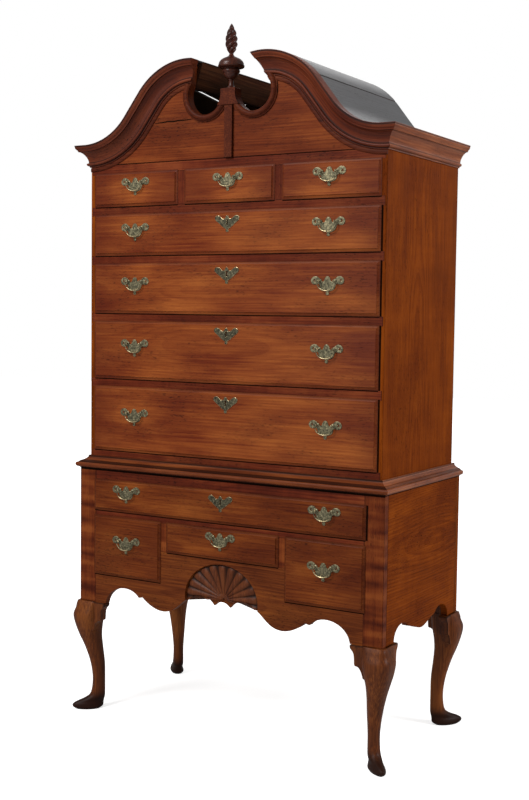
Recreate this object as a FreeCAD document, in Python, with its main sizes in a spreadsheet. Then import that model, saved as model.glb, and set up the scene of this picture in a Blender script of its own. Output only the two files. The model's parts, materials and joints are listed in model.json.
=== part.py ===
"""A highboy: a bonnet-top chest of drawers standing in a waist moulding on a lower case with
cabriole legs.  Millimetres.  X runs to the right, Y to the back, Z up.  The origin is on the
floor, in the middle between the four feet."""
import FreeCAD, Part
import Sketcher
import math
import os
import re

doc = FreeCAD.newDocument("Highboy")
sheet = doc.addObject("Spreadsheet::Sheet", "Sizes")

SIZES = {
    # upper case
    "upper_width": 990, "upper_depth": 480, "base_rail": 44.5, "blade_face": 23,
    "row_four": 196, "row_three": 174, "row_two": 149, "row_one": 123, "row_small": 100,
    "top_rail": 24.5, "blade_depth": 60, "dovetail_reach": 15, "dovetail_depth": 24,
    "small_drawer_half": 152, "small_divider_face": 23,
    # lower case
    "side_step": 22, "front_step": 22, "back_step": 10, "leg_height": 345,
    "apron_side": 89, "side_drawer": 183.5, "middle_rail_face": 14.5, "lower_long": 96,
    "lower_top_rail": 42, "centre_drawer": 90.6, "centre_drawer_half": 192,
    "lower_divider_face": 20,
    # boards
    "case_board": 20, "back_board": 12, "floor_board": 14, "roof_board": 11,
    "scroll_board": 22, "runner_height": 20, "runner_width": 20,
    # scallops of the aprons, as depths above the foot of the case and places along it
    "lobe_rise": 4, "arch_rise": 55, "fan_arch_rise": 68, "cusp_rise": 35,
    "knee_flat": 38, "arch_middle": 350, "cusp_width": 14, "cusp_inner": 279, "lobe_middle": 205,
    "fan_arch_middle": 76, "fan_cusp": 27, "side_lobe_rise": 6, "side_arch_rise": 45,
    "side_cusp_rise": 28, "side_arch_middle": 131, "side_cusp": 90, "side_knee_flat": 11,
    "fan_half_width": 125, "fan_height": 106, "fan_middle_rise": 62, "fan_depth": 9,
    "fan_crown_depth": 1.5, "fan_hub": 12, "fan_lobes": 11,
    # legs
    "leg_post": 40, "knee_out": 22, "knee_inside": 76, "ankle_radius": 16, "ankle_middle": 57,
    "toe_out": 24, "heel_inside": 74, "foot_half_width": 25, "block_length": 36,
    "block_height": 62, "block_depth": 22,
    # drawers
    "lip_side": 5, "lip_top": 3, "lip_proud": 6, "lip_round": 3, "front_inset": 16,
    "drawer_side_board": 10, "drawer_bottom_board": 7, "drawer_bottom_rise": 9,
    "drawer_side_drop": 8, "upper_drawer_gap": 28, "lower_drawer_gap": 40,
    "side_play": 1, "running_gap": 0.3,
    # waist and crown mouldings
    "waist_height": 25, "waist_drop": 12, "waist_out": 12, "waist_fillet": 5,
    "crown_height": 62, "crown_out": 37, "crown_rise": 60, "scroll_rise": 222,
    "scroll_crest": 125, "scroll_slope": 52, "scroll_foot_radius": 190, "gap_half": 88,
    "opening_middle": 81, "opening_rise": 182, "opening_radius": 57, "ring_width": 20,
    "ring_out": 10,
    # plinth and finial
    "strip_width": 26, "strip_out": 8, "plinth_width": 34, "plinth_out": 8,
    "plinth_rise": 197, "plinth_height": 36, "plinth_cap": 8, "finial_urn_radius": 35,
    "finial_vase_radius": 22, "finial_neck_radius": 7, "finial_flame_radius": 17,
    "finial_urn_height": 84, "finial_flame_height": 84, "finial_peg_radius": 6,
    "finial_peg_length": 20, "peg_play": 0.2,
    # brasses
    "plate_width": 102, "plate_height": 52, "plate_thickness": 1.6, "plate_below_posts": 39,
    "post_spacing": 46, "post_radius": 2.4, "post_play": 0.2, "post_head": 3.4,
    "post_stand": 8, "nut_size": 9, "nut_thickness": 3, "bail_drop": 26, "bail_radius": 1.8,
    "bail_play": 0.4, "pivot_radius": 1.3, "pivot_play": 0.05, "pull_rise": 20,
    "upper_pull_inset": 155, "lower_pull_inset": 125,
    "lock_plate_width": 82, "lock_plate_height": 47, "lock_plate_below_key": 32.5,
    "lock_drop": 29, "lock_width": 62, "lock_height": 42,
    "lock_thickness": 11, "key_radius": 3,
}
for row, (alias, cell_value) in enumerate(SIZES.items(), start=1):
    sheet.set(f"A{row}", alias)
    sheet.set(f"B{row}", str(cell_value))
    sheet.setAlias(f"B{row}", alias)
doc.recompute()


def formula(words):
    """The words with every size's alias written as a reference to the sheet."""
    return re.sub(r"[a-z]+(?:_[a-z]+)+", lambda found: f"Sizes.{found.group(0)}", words)


def number(words):
    """The value of a formula of sizes, in millimetres."""
    return float(sheet.evalExpression(formula(words)))


def bind(thing, prop, words):
    """Let a property of a document object follow a formula of sizes."""
    thing.setExpression(prop, formula(words))


def half(words):
    return f"(({words}) / 2)"


def plus(*terms):
    return "(" + " + ".join(terms) + ")"


def minus(first, second):
    return f"({first} - {second})"


def negative(words):
    return f"(0 - {words})"


# --- Levels and planes, each worked out from the sizes ------------------------------------
UPPER_HALF = half("upper_width")
UPPER_INSIDE = minus(UPPER_HALF, "case_board")
LOWER_HALF = plus(UPPER_HALF, "side_step")
LOWER_INSIDE = minus(LOWER_HALF, "case_board")
STILE_INSIDE = minus(LOWER_INSIDE, "leg_post")
LOWER_DEPTH = plus("upper_depth", "front_step", "back_step")
LOWER_FRONT = negative(half(LOWER_DEPTH))
LOWER_BACK = half(LOWER_DEPTH)
FRONT = plus(LOWER_FRONT, "front_step")
UPPER_BACK = minus(LOWER_BACK, "back_step")

SIDE_DRAWER_Z = plus("leg_height", "apron_side")
SIDE_DRAWER_TOP = plus(SIDE_DRAWER_Z, "side_drawer")
CENTRE_DRAWER_Z = minus(SIDE_DRAWER_TOP, "centre_drawer")
LOWER_LONG_Z = plus(SIDE_DRAWER_TOP, "middle_rail_face")
LOWER_LONG_TOP = plus(LOWER_LONG_Z, "lower_long")
SEAM = plus(LOWER_LONG_TOP, "lower_top_rail")
ROW_FOUR_Z = plus(SEAM, "base_rail")
ROW_THREE_Z = plus(ROW_FOUR_Z, "row_four", "blade_face")
ROW_TWO_Z = plus(ROW_THREE_Z, "row_three", "blade_face")
ROW_ONE_Z = plus(ROW_TWO_Z, "row_two", "blade_face")
SMALL_Z = plus(ROW_ONE_Z, "row_one", "blade_face")
SMALL_TOP = plus(SMALL_Z, "row_small")
SCROLL_BASE = plus(SMALL_TOP, "top_rail")
CROWN_LOW = plus(SCROLL_BASE, "crown_rise")
CREST = plus(CROWN_LOW, "scroll_rise")
OPENING_Z = plus(SCROLL_BASE, "opening_rise")
PLINTH_TOP = plus(SCROLL_BASE, "plinth_rise")
PLINTH_FOOT = minus(PLINTH_TOP, "plinth_height")

nodes = []


def sided(way, low, high):
    """The two limits on the right-hand side, or mirrored to the left where way is -1."""
    return (low, high) if way > 0 else (negative(high), negative(low))


def board(name, across, along, upward):
    """A plain rectangular board between two formulas along each of X, Y and Z."""
    box = doc.addObject("Part::Box", name)
    for prop, place, (low, high) in (("Length", "x", across), ("Width", "y", along),
                                     ("Height", "z", upward)):
        bind(box, prop, f"({high}) - ({low})")
        bind(box, f"Placement.Base.{place}", low)
    return box


def made(name, shape):
    """A piece whose shape is worked out from the sizes with Part's own functions."""
    piece = doc.addObject("Part::Feature", name)
    piece.Shape = shape
    return piece


def node(label, pieces):
    """One sub-part: its pieces stay separate solids of one compound."""
    group = doc.addObject("Part::Compound", label)
    group.Label = label
    group.Links = pieces
    nodes.append(group)
    return group


def cut(name, base, tools):
    """The base with every tool taken out of it."""
    tool = doc.addObject("Part::Compound", f"{name}_tools")
    tool.Links = tools
    piece = doc.addObject("Part::Cut", name)
    piece.Base = base
    piece.Tool = tool
    return piece


def rod(name, radius, length, place, turn):
    """A cylinder bound to a radius and a length, starting at a place and turned by a rotation."""
    cylinder = doc.addObject("Part::Cylinder", name)
    bind(cylinder, "Radius", radius)
    bind(cylinder, "Height", length)
    cylinder.Placement = FreeCAD.Placement(FreeCAD.Vector(), turn)
    for axis, words in zip("xyz", place):
        bind(cylinder, f"Placement.Base.{axis}", words)
    return cylinder


TO_THE_BACK = FreeCAD.Rotation(FreeCAD.Vector(1, 0, 0), -90)
UPRIGHT = FreeCAD.Rotation()
VECTOR = FreeCAD.Vector


# --- Outlines -------------------------------------------------------------------------------
def smooth(points):
    """An edge that runs smoothly through its points."""
    curve = Part.BSplineCurve()
    curve.interpolate([VECTOR(*point) for point in points])
    return curve.toShape()


def straight(points):
    """The straight edges from point to point."""
    return [Part.LineSegment(VECTOR(*first), VECTOR(*second)).toShape()
            for first, second in zip(points, points[1:])]


def prism(edges, sweep):
    """The solid that a closed outline sweeps along a vector."""
    face = Part.Face(Part.Wire(Part.__sortEdges__(edges)))
    return face.extrude(VECTOR(*sweep))


def slab(low, high):
    """A plain block between two corners."""
    size = [top - bottom for bottom, top in zip(low, high)]
    return Part.makeBox(*size, VECTOR(*low))


def mirrored(shape):
    return shape.mirror(VECTOR(0, 0, 0), VECTOR(1, 0, 0))


def bonnet_line(inset):
    """The edges of the bonnet's S-curve, at Y = 0 on the right half: flat over the cornice, a
    hollow arc, a straight slope and a round arc up to the crest, then flat to the middle.  The
    inset moves the line square to itself, inwards and down."""
    slope = math.radians(number("scroll_slope"))
    foot_x = number(UPPER_HALF)
    crest_x = number("scroll_crest")
    low_z = number(CROWN_LOW)
    crest_z = number(CREST)
    both_radii = ((foot_x - crest_x) * math.sin(slope)
                  - (crest_z - low_z) * math.cos(slope)) / (1 - math.cos(slope))
    foot_radius = number("scroll_foot_radius")
    crest_radius = both_radii - foot_radius
    far_x = foot_x + 2 * number("crown_out")

    def on_foot(angle):
        radius = foot_radius + inset
        return VECTOR(foot_x - radius * math.sin(angle), 0,
                      low_z + foot_radius - radius * math.cos(angle))

    def on_crest(angle):
        radius = crest_radius - inset
        return VECTOR(crest_x + radius * math.sin(angle), 0,
                      crest_z - crest_radius + radius * math.cos(angle))

    return [
        Part.LineSegment(VECTOR(far_x, 0, low_z - inset), on_foot(0)).toShape(),
        Part.Arc(on_foot(0), on_foot(slope / 2), on_foot(slope)).toShape(),
        Part.LineSegment(on_foot(slope), on_crest(slope)).toShape(),
        Part.Arc(on_crest(slope), on_crest(slope / 2), on_crest(0)).toShape(),
        Part.LineSegment(on_crest(0), VECTOR(0, 0, crest_z - inset)).toShape(),
    ]


def under_bonnet(inset, front, back):
    """Everything between the scroll base and the bonnet's line, on the right half."""
    far_x = number(UPPER_HALF) + 2 * number("crown_out")
    base = number(SCROLL_BASE)
    closing = straight([(0, 0, number(CREST) - inset), (0, 0, base), (far_x, 0, base),
                        (far_x, 0, number(CROWN_LOW) - inset)])
    solid = prism(bonnet_line(inset) + closing, (0, back - front, 0))
    solid.translate(VECTOR(0, front, 0))
    return solid


def between(low, high, count):
    """The limits of equal shares from low to high."""
    step = (high - low) / count
    return [(low + share * step, low + (share + 1) * step) for share in range(count)]


# --- Lower case ------------------------------------------------------------------------------
def build_lower_sides():
    """Two boards, each with a double arch and a drooping lobe along its lower edge."""
    foot = number("leg_height")
    front = number(LOWER_FRONT) + number("case_board")
    back = number(LOWER_BACK) - number("case_board")
    middle = (front + back) / 2
    inner = (back - front) / 2 - (number("leg_post") + number("side_knee_flat"))
    arch = number("side_arch_middle")
    arch_z = foot + number("side_arch_rise")
    cusp = number("side_cusp")
    cusp_z = foot + number("side_cusp_rise")
    lobe_z = foot + number("side_lobe_rise")
    edges = []
    for way in (1, -1):
        edges.append(smooth([(0, middle + way * inner, foot), (0, middle + way * (inner - 9), foot + 27),
                             (0, middle + way * arch, arch_z), (0, middle + way * cusp, cusp_z)]))
    edges.append(smooth([(0, middle + cusp, cusp_z), (0, middle + cusp / 2, (cusp_z + lobe_z) / 2 - 1),
                         (0, middle, lobe_z), (0, middle - cusp / 2, (cusp_z + lobe_z) / 2 - 1),
                         (0, middle - cusp, cusp_z)]))
    top = number(SEAM)
    edges += straight([(0, middle + inner, foot), (0, back, foot), (0, back, top), (0, front, top),
                       (0, front, foot), (0, middle - inner, foot)])
    side = prism(edges, (number("case_board"), 0, 0))
    side.translate(VECTOR(number(LOWER_INSIDE), 0, 0))
    node("lower_sides", [made("lower_side_right", side), made("lower_side_left", mirrored(side))])


def build_lower_back():
    """One wide board from corner to corner, cut away between the back legs."""
    node("lower_back", [board("lower_back_board", (negative(LOWER_HALF), LOWER_HALF),
                              (minus(LOWER_BACK, "case_board"), LOWER_BACK),
                              ("leg_height", SEAM))])


def build_front_apron():
    """One board under the small drawers: arches and lobes below, shoulders for the two deep
    drawers at its top corners, and a fan carved in its middle."""
    foot = number("leg_height")
    end = number(STILE_INSIDE)
    flat = end - number("knee_flat")
    cusp_z = foot + number("cusp_rise")
    lobe_z = foot + number("lobe_rise")
    fan_z = foot + number("fan_arch_rise")
    fan_cusp = number("fan_cusp")
    fan_cusp_z = fan_z - 24
    arch_x = number("fan_arch_middle")
    lobe_x = number("lobe_middle")
    cusp_inner = number("cusp_inner")
    cusp_outer = cusp_inner + number("cusp_width")
    edges = []
    for way in (1, -1):
        edges.append(smooth([(way * flat, 0, foot), (way * (flat - 12), 0, foot + 27),
                             (way * number("arch_middle"), 0, foot + number("arch_rise")),
                             (way * cusp_outer, 0, cusp_z - 2)]))
        edges.append(smooth([(way * cusp_inner, 0, cusp_z + 1),
                             (way * (lobe_x + 36), 0, lobe_z + 8), (way * lobe_x, 0, lobe_z),
                             (way * (lobe_x - 32), 0, lobe_z + 7), (way * (arch_x + 54), 0, lobe_z + 40),
                             (way * arch_x, 0, fan_z), (way * fan_cusp, 0, fan_cusp_z)]))
        edges += straight([(way * cusp_outer, 0, cusp_z - 2), (way * cusp_inner, 0, cusp_z + 1)])
    edges.append(smooth([(fan_cusp, 0, fan_cusp_z), (0, 0, fan_cusp_z + 13),
                         (-fan_cusp, 0, fan_cusp_z)]))
    shoulder = number(plus("centre_drawer_half", "lower_divider_face", "lip_side"))
    side_z = number(SIDE_DRAWER_Z)
    top = number(CENTRE_DRAWER_Z)
    edges += straight([(flat, 0, foot), (end, 0, foot), (end, 0, side_z), (shoulder, 0, side_z),
                       (shoulder, 0, top), (-shoulder, 0, top), (-shoulder, 0, side_z),
                       (-end, 0, side_z), (-end, 0, foot), (-flat, 0, foot)])
    apron = prism(edges, (0, number("case_board"), 0))
    apron = apron.cut(fan_hollow())
    apron.translate(VECTOR(0, number(LOWER_FRONT), 0))
    node("front_apron", [made("apron_board", apron)])


def fan_hollow():
    """What the carver takes out for the fan: a shallow oval with steep sides, less a ring of
    round lobes that spread from its middle.  Each lobe is the front of a cone whose foremost
    line stays just behind the board's face."""
    wide = number("fan_half_width")
    tall = number("fan_height")
    depth = number("fan_depth")
    crown = number("fan_crown_depth")
    middle = VECTOR(0, 0, number("leg_height") + number("fan_middle_rise"))
    rings = []
    for inset, back in ((0, -1), (0, 0), (depth / 2, depth)):
        oval = Part.Ellipse(VECTOR(0, 0, 0), wide - inset, tall - inset).toShape()
        oval.rotate(VECTOR(0, 0, 0), VECTOR(1, 0, 0), 90)
        oval.translate(middle + VECTOR(0, back, 0))
        rings.append(Part.Wire(oval))
    hollow = Part.makeLoft(rings, True, True)
    lobes = int(number("fan_lobes"))
    spread = math.pi / (lobes - 1)
    reach = 1.2 * wide
    width = 1.6 * math.tan(spread / 2)
    cones = []
    for count in range(lobes):
        angle = count * spread
        start = middle + VECTOR(0, depth, 0)
        end = middle + VECTOR(reach * math.cos(angle), crown + width * reach, reach * math.sin(angle))
        near = number("fan_hub") / (end - start).Length
        first = start + (end - start) * near
        cones.append(Part.makeCone(near * width * reach, width * reach, (end - first).Length,
                                   first, end - first))
    return hollow.cut(cones)


def build_lower_front_frame():
    """Corner stiles, the rails over and under the long drawer, and two short dividers."""
    depth = (LOWER_FRONT, plus(LOWER_FRONT, "case_board"))
    pieces = []
    for name, across in (("left_stile", (negative(LOWER_HALF), negative(STILE_INSIDE))),
                         ("right_stile", (STILE_INSIDE, LOWER_HALF))):
        pieces.append(board(name, across, depth, ("leg_height", SEAM)))
    width = (negative(STILE_INSIDE), STILE_INSIDE)
    pieces.append(board("lower_top_rail_board", width, depth, (minus(LOWER_LONG_TOP, "lip_top"), SEAM)))
    pieces.append(board("middle_rail_board", width, depth,
                        (minus(SIDE_DRAWER_TOP, "lip_top"), LOWER_LONG_Z)))
    inner = minus("centre_drawer_half", "lip_side")
    outer = plus("centre_drawer_half", "lower_divider_face", "lip_side")
    height = (CENTRE_DRAWER_Z, minus(SIDE_DRAWER_TOP, "lip_top"))
    pieces.append(board("left_short_divider", (negative(outer), negative(inner)), depth, height))
    pieces.append(board("right_short_divider", (inner, outer), depth, height))
    node("lower_front_frame", pieces)


def build_lower_runners():
    """Runners under the drawers, a guide on each side of the shallow drawer and kickers at the
    top that also carry the upper case."""
    front = plus(LOWER_FRONT, "case_board")
    back = minus(LOWER_BACK, "case_board")
    behind_posts = (plus(front, "leg_post"), minus(back, "leg_post"))
    pieces = []
    for word, way in (("left", -1), ("right", 1)):
        wall = sided(way, STILE_INSIDE, LOWER_INSIDE)
        on_post = sided(way, minus(STILE_INSIDE, "runner_width"), STILE_INSIDE)
        for name, top in (("side_drawer_runner", SIDE_DRAWER_Z), ("long_drawer_runner", LOWER_LONG_Z)):
            pieces.append(board(f"{word}_{name}", on_post, (front, back),
                                (minus(top, "runner_height"), top)))
        pieces.append(board(f"{word}_kicker", wall, behind_posts, (minus(SEAM, "runner_height"), SEAM)))
        pieces.append(board(f"{word}_runner_packing", wall, behind_posts,
                            (minus(SIDE_DRAWER_Z, "runner_height"), SIDE_DRAWER_Z)))
        inner = minus("centre_drawer_half", "lip_side")
        outer = plus("centre_drawer_half", "lower_divider_face", "lip_side")
        under_side = sided(way, inner, plus(outer, "runner_width"))
        pieces.append(board(f"{word}_inner_runner", under_side, (front, back),
                            (minus(SIDE_DRAWER_Z, "runner_height"), SIDE_DRAWER_Z)))
        under_centre = sided(way, minus(inner, "runner_width"), outer)
        pieces.append(board(f"{word}_centre_runner", under_centre, (front, back),
                            (minus(CENTRE_DRAWER_Z, "runner_height"), CENTRE_DRAWER_Z)))
    node("lower_drawer_runners", pieces)


def build_waist_moulding():
    """A sloping ogee with a round nose under it, mitred round the front and two sides.  Its top
    edge stands against the upper case and its foot laps over the lower case."""
    seam = number(SEAM)
    top = seam + number("waist_height")
    foot = seam - number("waist_drop")
    gap = number("running_gap")
    upper_half = number(UPPER_HALF) + gap
    lower_half = number(LOWER_HALF)
    out = lower_half + number("waist_out")
    fillet = upper_half + number("waist_fillet")
    nose_z = seam - 1.5
    slope_end = out - number("waist_out") * 0.7
    edges = straight([(slope_end, 0, seam + 7), (slope_end + 1, 0, seam + 5)])
    edges.append(smooth([(fillet, 0, top - 3), ((fillet + slope_end) / 2, 0, seam + 12),
                         (slope_end, 0, seam + 7)]))
    edges.append(Part.Arc(VECTOR(slope_end + 1, 0, seam + 5), VECTOR(out, 0, nose_z),
                          VECTOR(slope_end + 1, 0, foot + 2)).toShape())
    edges += straight([(slope_end + 1, 0, foot + 2), (slope_end - 1, 0, foot), (lower_half, 0, foot),
                       (lower_half, 0, seam), (upper_half, 0, seam), (upper_half, 0, top),
                       (fillet, 0, top), (fillet, 0, top - 3)])
    length = number(LOWER_DEPTH) + 2 * number("waist_out")
    bar = prism(edges, (0, length, 0))
    lower_front = number(LOWER_FRONT)
    upper_front = number(FRONT) - gap
    right = bar.copy()
    right.translate(VECTOR(0, lower_front - number("waist_out") - 1, 0))
    right = right.common(slab((0, -2 * length, 0), (2 * out, number(LOWER_BACK), top + 1)))
    front = prism(edges, (0, 4 * out, 0))
    front.translate(VECTOR(-lower_half, -2 * out, 0))
    front.rotate(VECTOR(0, 0, 0), VECTOR(0, 0, 1), -90)
    front.translate(VECTOR(0, lower_front, 0))
    wedge = mitre_wedge(upper_half, upper_front, lower_half + 30, lower_front - 30 - 1, foot - 1, top + 1)
    front = front.common(wedge)
    right = right.cut(wedge)
    node("waist_moulding", [made("waist_front", front), made("waist_right", right),
                            made("waist_left", mirrored(right))])


def mitre_wedge(inner_half, inner_y, outer_half, outer_y, low, high):
    """The block of space that the front length of a mitred moulding fills."""
    reach = min(outer_half - inner_half, inner_y - outer_y)
    outline = straight([(-inner_half, inner_y, low), (inner_half, inner_y, low),
                        (inner_half + reach, inner_y - reach, low),
                        (-inner_half - reach, inner_y - reach, low), (-inner_half, inner_y, low)])
    return prism(outline, (0, 0, high - low))


def leg_section(height, outer, inner, roundness, half_width, taper):
    """A closed ring of the leg in its own frame: the case's corner is at the origin, the leg's
    middle plane runs along the diagonal, and outer and inner are measured along it, outwards.
    Roundness 2 is a circle and a higher power squares the ring; taper draws the toe to a point."""
    middle = (outer + inner) / 2
    reach = (outer - inner) / 2
    at_corner = (2 * math.sqrt(0.5) ** roundness) ** (-1 / roundness)
    points = []
    for step in range(24):
        angle = math.radians(15 * step)
        across = abs(math.cos(angle - math.pi / 4)) ** roundness
        along = abs(math.sin(angle - math.pi / 4)) ** roundness
        ring = (across + along) ** (-1 / roundness) / at_corner
        diagonal = ring * math.cos(angle)
        sideways = half_width * ring * math.sin(angle) * (1 - taper * (diagonal + 1) / 2)
        outwards = middle + reach * diagonal
        points.append(VECTOR((-outwards + sideways) * math.sqrt(0.5),
                             (-outwards - sideways) * math.sqrt(0.5), height))
    curve = Part.BSplineCurve()
    curve.interpolate(points, PeriodicFlag=True)
    return Part.Wire(curve.toShape())


def leg_shape():
    """A cabriole leg with its corner post, pointing along the diagonal of its corner."""
    top = number("leg_height")
    board_size = number("case_board")
    post = number("leg_post")
    block = board_size + post
    knee = number("knee_out")
    inside = number("knee_inside")
    ankle = number("ankle_radius")
    middle = -number("ankle_middle")
    toe = number("toe_out")
    heel = -number("heel_inside")
    foot_half = number("foot_half_width")
    ankle_z = 95
    calf = (top - 45 + ankle_z) / 2
    stations = [
        (0, toe - 14, heel + 14, 2.0, foot_half - 5, 0.3),
        (7, toe - 2, heel + 4, 2.0, foot_half, 0.3),
        (16, toe, heel + 2, 2.0, foot_half - 1, 0.35),
        (24, toe - 12, heel + 1, 2.0, foot_half - 5, 0.3),
        (36, toe - 42, heel, 2.0, ankle + 2, 0.1),
        (52, middle + ankle + 6, heel, 2.0, ankle, 0),
        (ankle_z, middle + ankle, middle - ankle, 2.0, ankle - 1, 0),
        ((calf + ankle_z) / 2, middle + ankle + 9, middle - ankle, 2.1, ankle + 4, 0),
        (calf, middle + ankle + 27, middle - ankle + 3, 2.3, ankle + 11, 0),
        (top - 110, 3, -inside + 9, 2.6, 34, 0),
        (top - 75, knee - 6, -inside + 6, 3.0, 43, 0),
        (top - 45, knee, -inside, 3.4, 48, 0),
        (top - 22, knee - 8, -inside - 2, 4.0, 46, 0),
    ]
    leg = Part.makeLoft([leg_section(*station) for station in stations], True, False)
    corner = block * math.sqrt(2) / 2
    shoulder = Part.makeLoft([leg_section(*stations[-1]),
                              leg_section(top, 0, -2 * corner, 7.0, corner, 0)], True, False)
    stem = Part.makeBox(post, post, number(SEAM) - top, VECTOR(board_size, board_size, top))
    below_floor = slab((-2 * top, -2 * top, -top), (2 * top, 2 * top, 0))
    return leg.cut(below_floor).fuse([shoulder, stem]).removeSplitter()


def knee_block(leg):
    """A small bracket under the apron, shaped to the side of the knee and hollowed below."""
    top = number("leg_height")
    block = number("case_board") + number("leg_post")
    length = number("block_length")
    foot = top - number("block_height")
    step = foot + 5
    edges = straight([(block / 2, 2, foot), (block / 2, 2, top), (block + length, 2, top),
                      (block + length, 2, top - 5)])
    edges.append(smooth([(block + length, 2, top - 5), (block + length * 0.86, 2, top - 16),
                         (block + length * 0.55, 2, top - 28), (block + length * 0.3, 2, top - 42),
                         (block + length * 0.22, 2, step)]))
    edges += straight([(block + length * 0.22, 2, step), (block + 2, 2, foot), (block / 2, 2, foot)])
    return prism(edges, (0, number("block_depth"), 0)).cut(leg)


def build_legs():
    """Four equal legs, each turned to its corner, with a knee block on either side."""
    leg = leg_shape()
    block = knee_block(leg)
    other_block = block.mirror(VECTOR(0, 0, 0), VECTOR(1, -1, 0)).common(
        slab((-100, -100, 0), (number("block_depth") + 2, 200, 400)))
    other_block = other_block.cut(block)
    corners = (("front_left_leg", negative(LOWER_HALF), LOWER_FRONT, 0),
               ("front_right_leg", LOWER_HALF, LOWER_FRONT, 90),
               ("back_right_leg", LOWER_HALF, LOWER_BACK, 180),
               ("back_left_leg", negative(LOWER_HALF), LOWER_BACK, 270))
    for label, across, along, turn in corners:
        pieces = []
        for word, shape in (("cabriole", leg), ("knee_block_a", block), ("knee_block_b", other_block)):
            piece = made(f"{label}_{word}", shape)
            piece.Placement = FreeCAD.Placement(VECTOR(number(across), number(along), 0),
                                                FreeCAD.Rotation(VECTOR(0, 0, 1), turn))
            pieces.append(piece)
        node(label, pieces)


# --- Upper case ------------------------------------------------------------------------------
ROWS = (("four", ROW_FOUR_Z, "row_four"), ("three", ROW_THREE_Z, "row_three"),
        ("two", ROW_TWO_Z, "row_two"), ("one", ROW_ONE_Z, "row_one"), ("small", SMALL_Z, "row_small"))


def blade_levels():
    """Name, underside and top of every rail that crosses the front of the upper case."""
    levels = [("base_rail_board", SEAM, ROW_FOUR_Z)]
    for (_, low, height), (name, top, _) in zip(ROWS, ROWS[1:]):
        levels.append((f"blade_under_{name}", minus(plus(low, height), "lip_top"), top))
    levels.append(("top_rail_board", minus(SMALL_TOP, "lip_top"), SCROLL_BASE))
    return levels


def build_upper_sides():
    """Two boards with dovetail housings for the blades cut in their front edges."""
    top = minus(CROWN_LOW, "roof_board")
    for word, way in (("left", -1), ("right", 1)):
        plank = board(f"{word}_plank", sided(way, UPPER_INSIDE, UPPER_HALF), (FRONT, UPPER_BACK),
                      (SEAM, top))
        reach = sided(way, UPPER_INSIDE, plus(UPPER_INSIDE, "dovetail_reach"))
        housings = [board(f"{word}_{name}_housing", reach, (FRONT, plus(FRONT, "dovetail_depth")),
                          (low, high))
                    for name, low, high in blade_levels()]
        node(f"upper_side_{word}", [cut(f"{word}_side_board", plank, housings)])


def build_upper_boards():
    """The bottom board, and the top board that shuts the case under the bonnet."""
    width = (negative(UPPER_INSIDE), UPPER_INSIDE)
    back = minus(UPPER_BACK, "back_board")
    bottom = board("bottom_board", width, (plus(FRONT, "blade_depth"), back),
                   (SEAM, plus(SEAM, "floor_board")))
    top = board("top_board", width, (plus(FRONT, "scroll_board"), back),
                (SCROLL_BASE, plus(SCROLL_BASE, "floor_board")))
    node("upper_bottom_and_top", [bottom, top])


def build_upper_back():
    """Three wide boards nailed in behind, and the scrolled board that closes the bonnet."""
    back = number(UPPER_BACK)
    front = back - number("back_board")
    half_width = number(UPPER_INSIDE)
    pieces = [made(f"back_board_{count}", slab((-half_width, front, low), (half_width, back, high)))
              for count, (low, high) in enumerate(between(number(SEAM), number(SCROLL_BASE), 3), start=1)]
    half_scroll = under_bonnet(number("roof_board"), front, back)
    scroll = half_scroll.fuse(mirrored(half_scroll)).removeSplitter()
    scroll = scroll.common(slab((-half_width, front, 0), (half_width, back, number(CREST))))
    gap = number("gap_half")
    scroll = scroll.cut(slab((-gap, front - 1, number(PLINTH_TOP)), (gap, back + 1, number(CREST))))
    pieces.append(made("bonnet_back_board", scroll))
    node("upper_back", pieces)


def build_upper_front_rails():
    """Base rail, drawer blades and top rail, each with a dovetail let into both side boards, and
    two upright dividers between the small drawers."""
    pieces = []
    for name, low, high in blade_levels():
        body = board(f"{name}_middle", (negative(UPPER_INSIDE), UPPER_INSIDE),
                     (FRONT, plus(FRONT, "blade_depth")), (low, high))
        ends = board(f"{name}_ends", (negative(plus(UPPER_INSIDE, "dovetail_reach")),
                                      plus(UPPER_INSIDE, "dovetail_reach")),
                     (FRONT, plus(FRONT, "dovetail_depth")), (low, high))
        rail = doc.addObject("Part::Fuse", name)
        rail.Base = body
        rail.Tool = ends
        pieces.append(rail)
    inner = minus("small_drawer_half", "lip_side")
    outer = plus("small_drawer_half", "small_divider_face", "lip_side")
    for name, across in (("left_divider", (negative(outer), negative(inner))),
                         ("right_divider", (inner, outer))):
        pieces.append(board(name, across, (FRONT, plus(FRONT, "blade_depth")),
                            (SMALL_Z, minus(SMALL_TOP, "lip_top"))))
    node("upper_front_rails", pieces)


def build_upper_runners():
    """A runner along each side for every row, and a wide one with a guide strip on it between
    the small drawers."""
    depth = (plus(FRONT, "blade_depth"), minus(UPPER_BACK, "back_board"))
    inner = minus("small_drawer_half", "lip_side")
    outer = plus("small_drawer_half", "small_divider_face", "lip_side")
    pieces = []
    for word, way in (("left", -1), ("right", 1)):
        on_side = sided(way, minus(UPPER_INSIDE, "runner_width"), UPPER_INSIDE)
        for name, top, _ in ROWS:
            pieces.append(board(f"{word}_runner_{name}", on_side, depth,
                                (minus(top, "runner_height"), top)))
        pieces.append(board(f"{word}_small_centre_runner",
                            sided(way, minus(inner, "runner_width"), plus(outer, "runner_width")), depth,
                            (minus(SMALL_Z, "runner_height"), SMALL_Z)))
        pieces.append(board(f"{word}_small_guide", sided(way, inner, outer), depth,
                            (SMALL_Z, plus(SMALL_Z, "runner_height"))))
    node("upper_drawer_runners", pieces)


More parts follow.
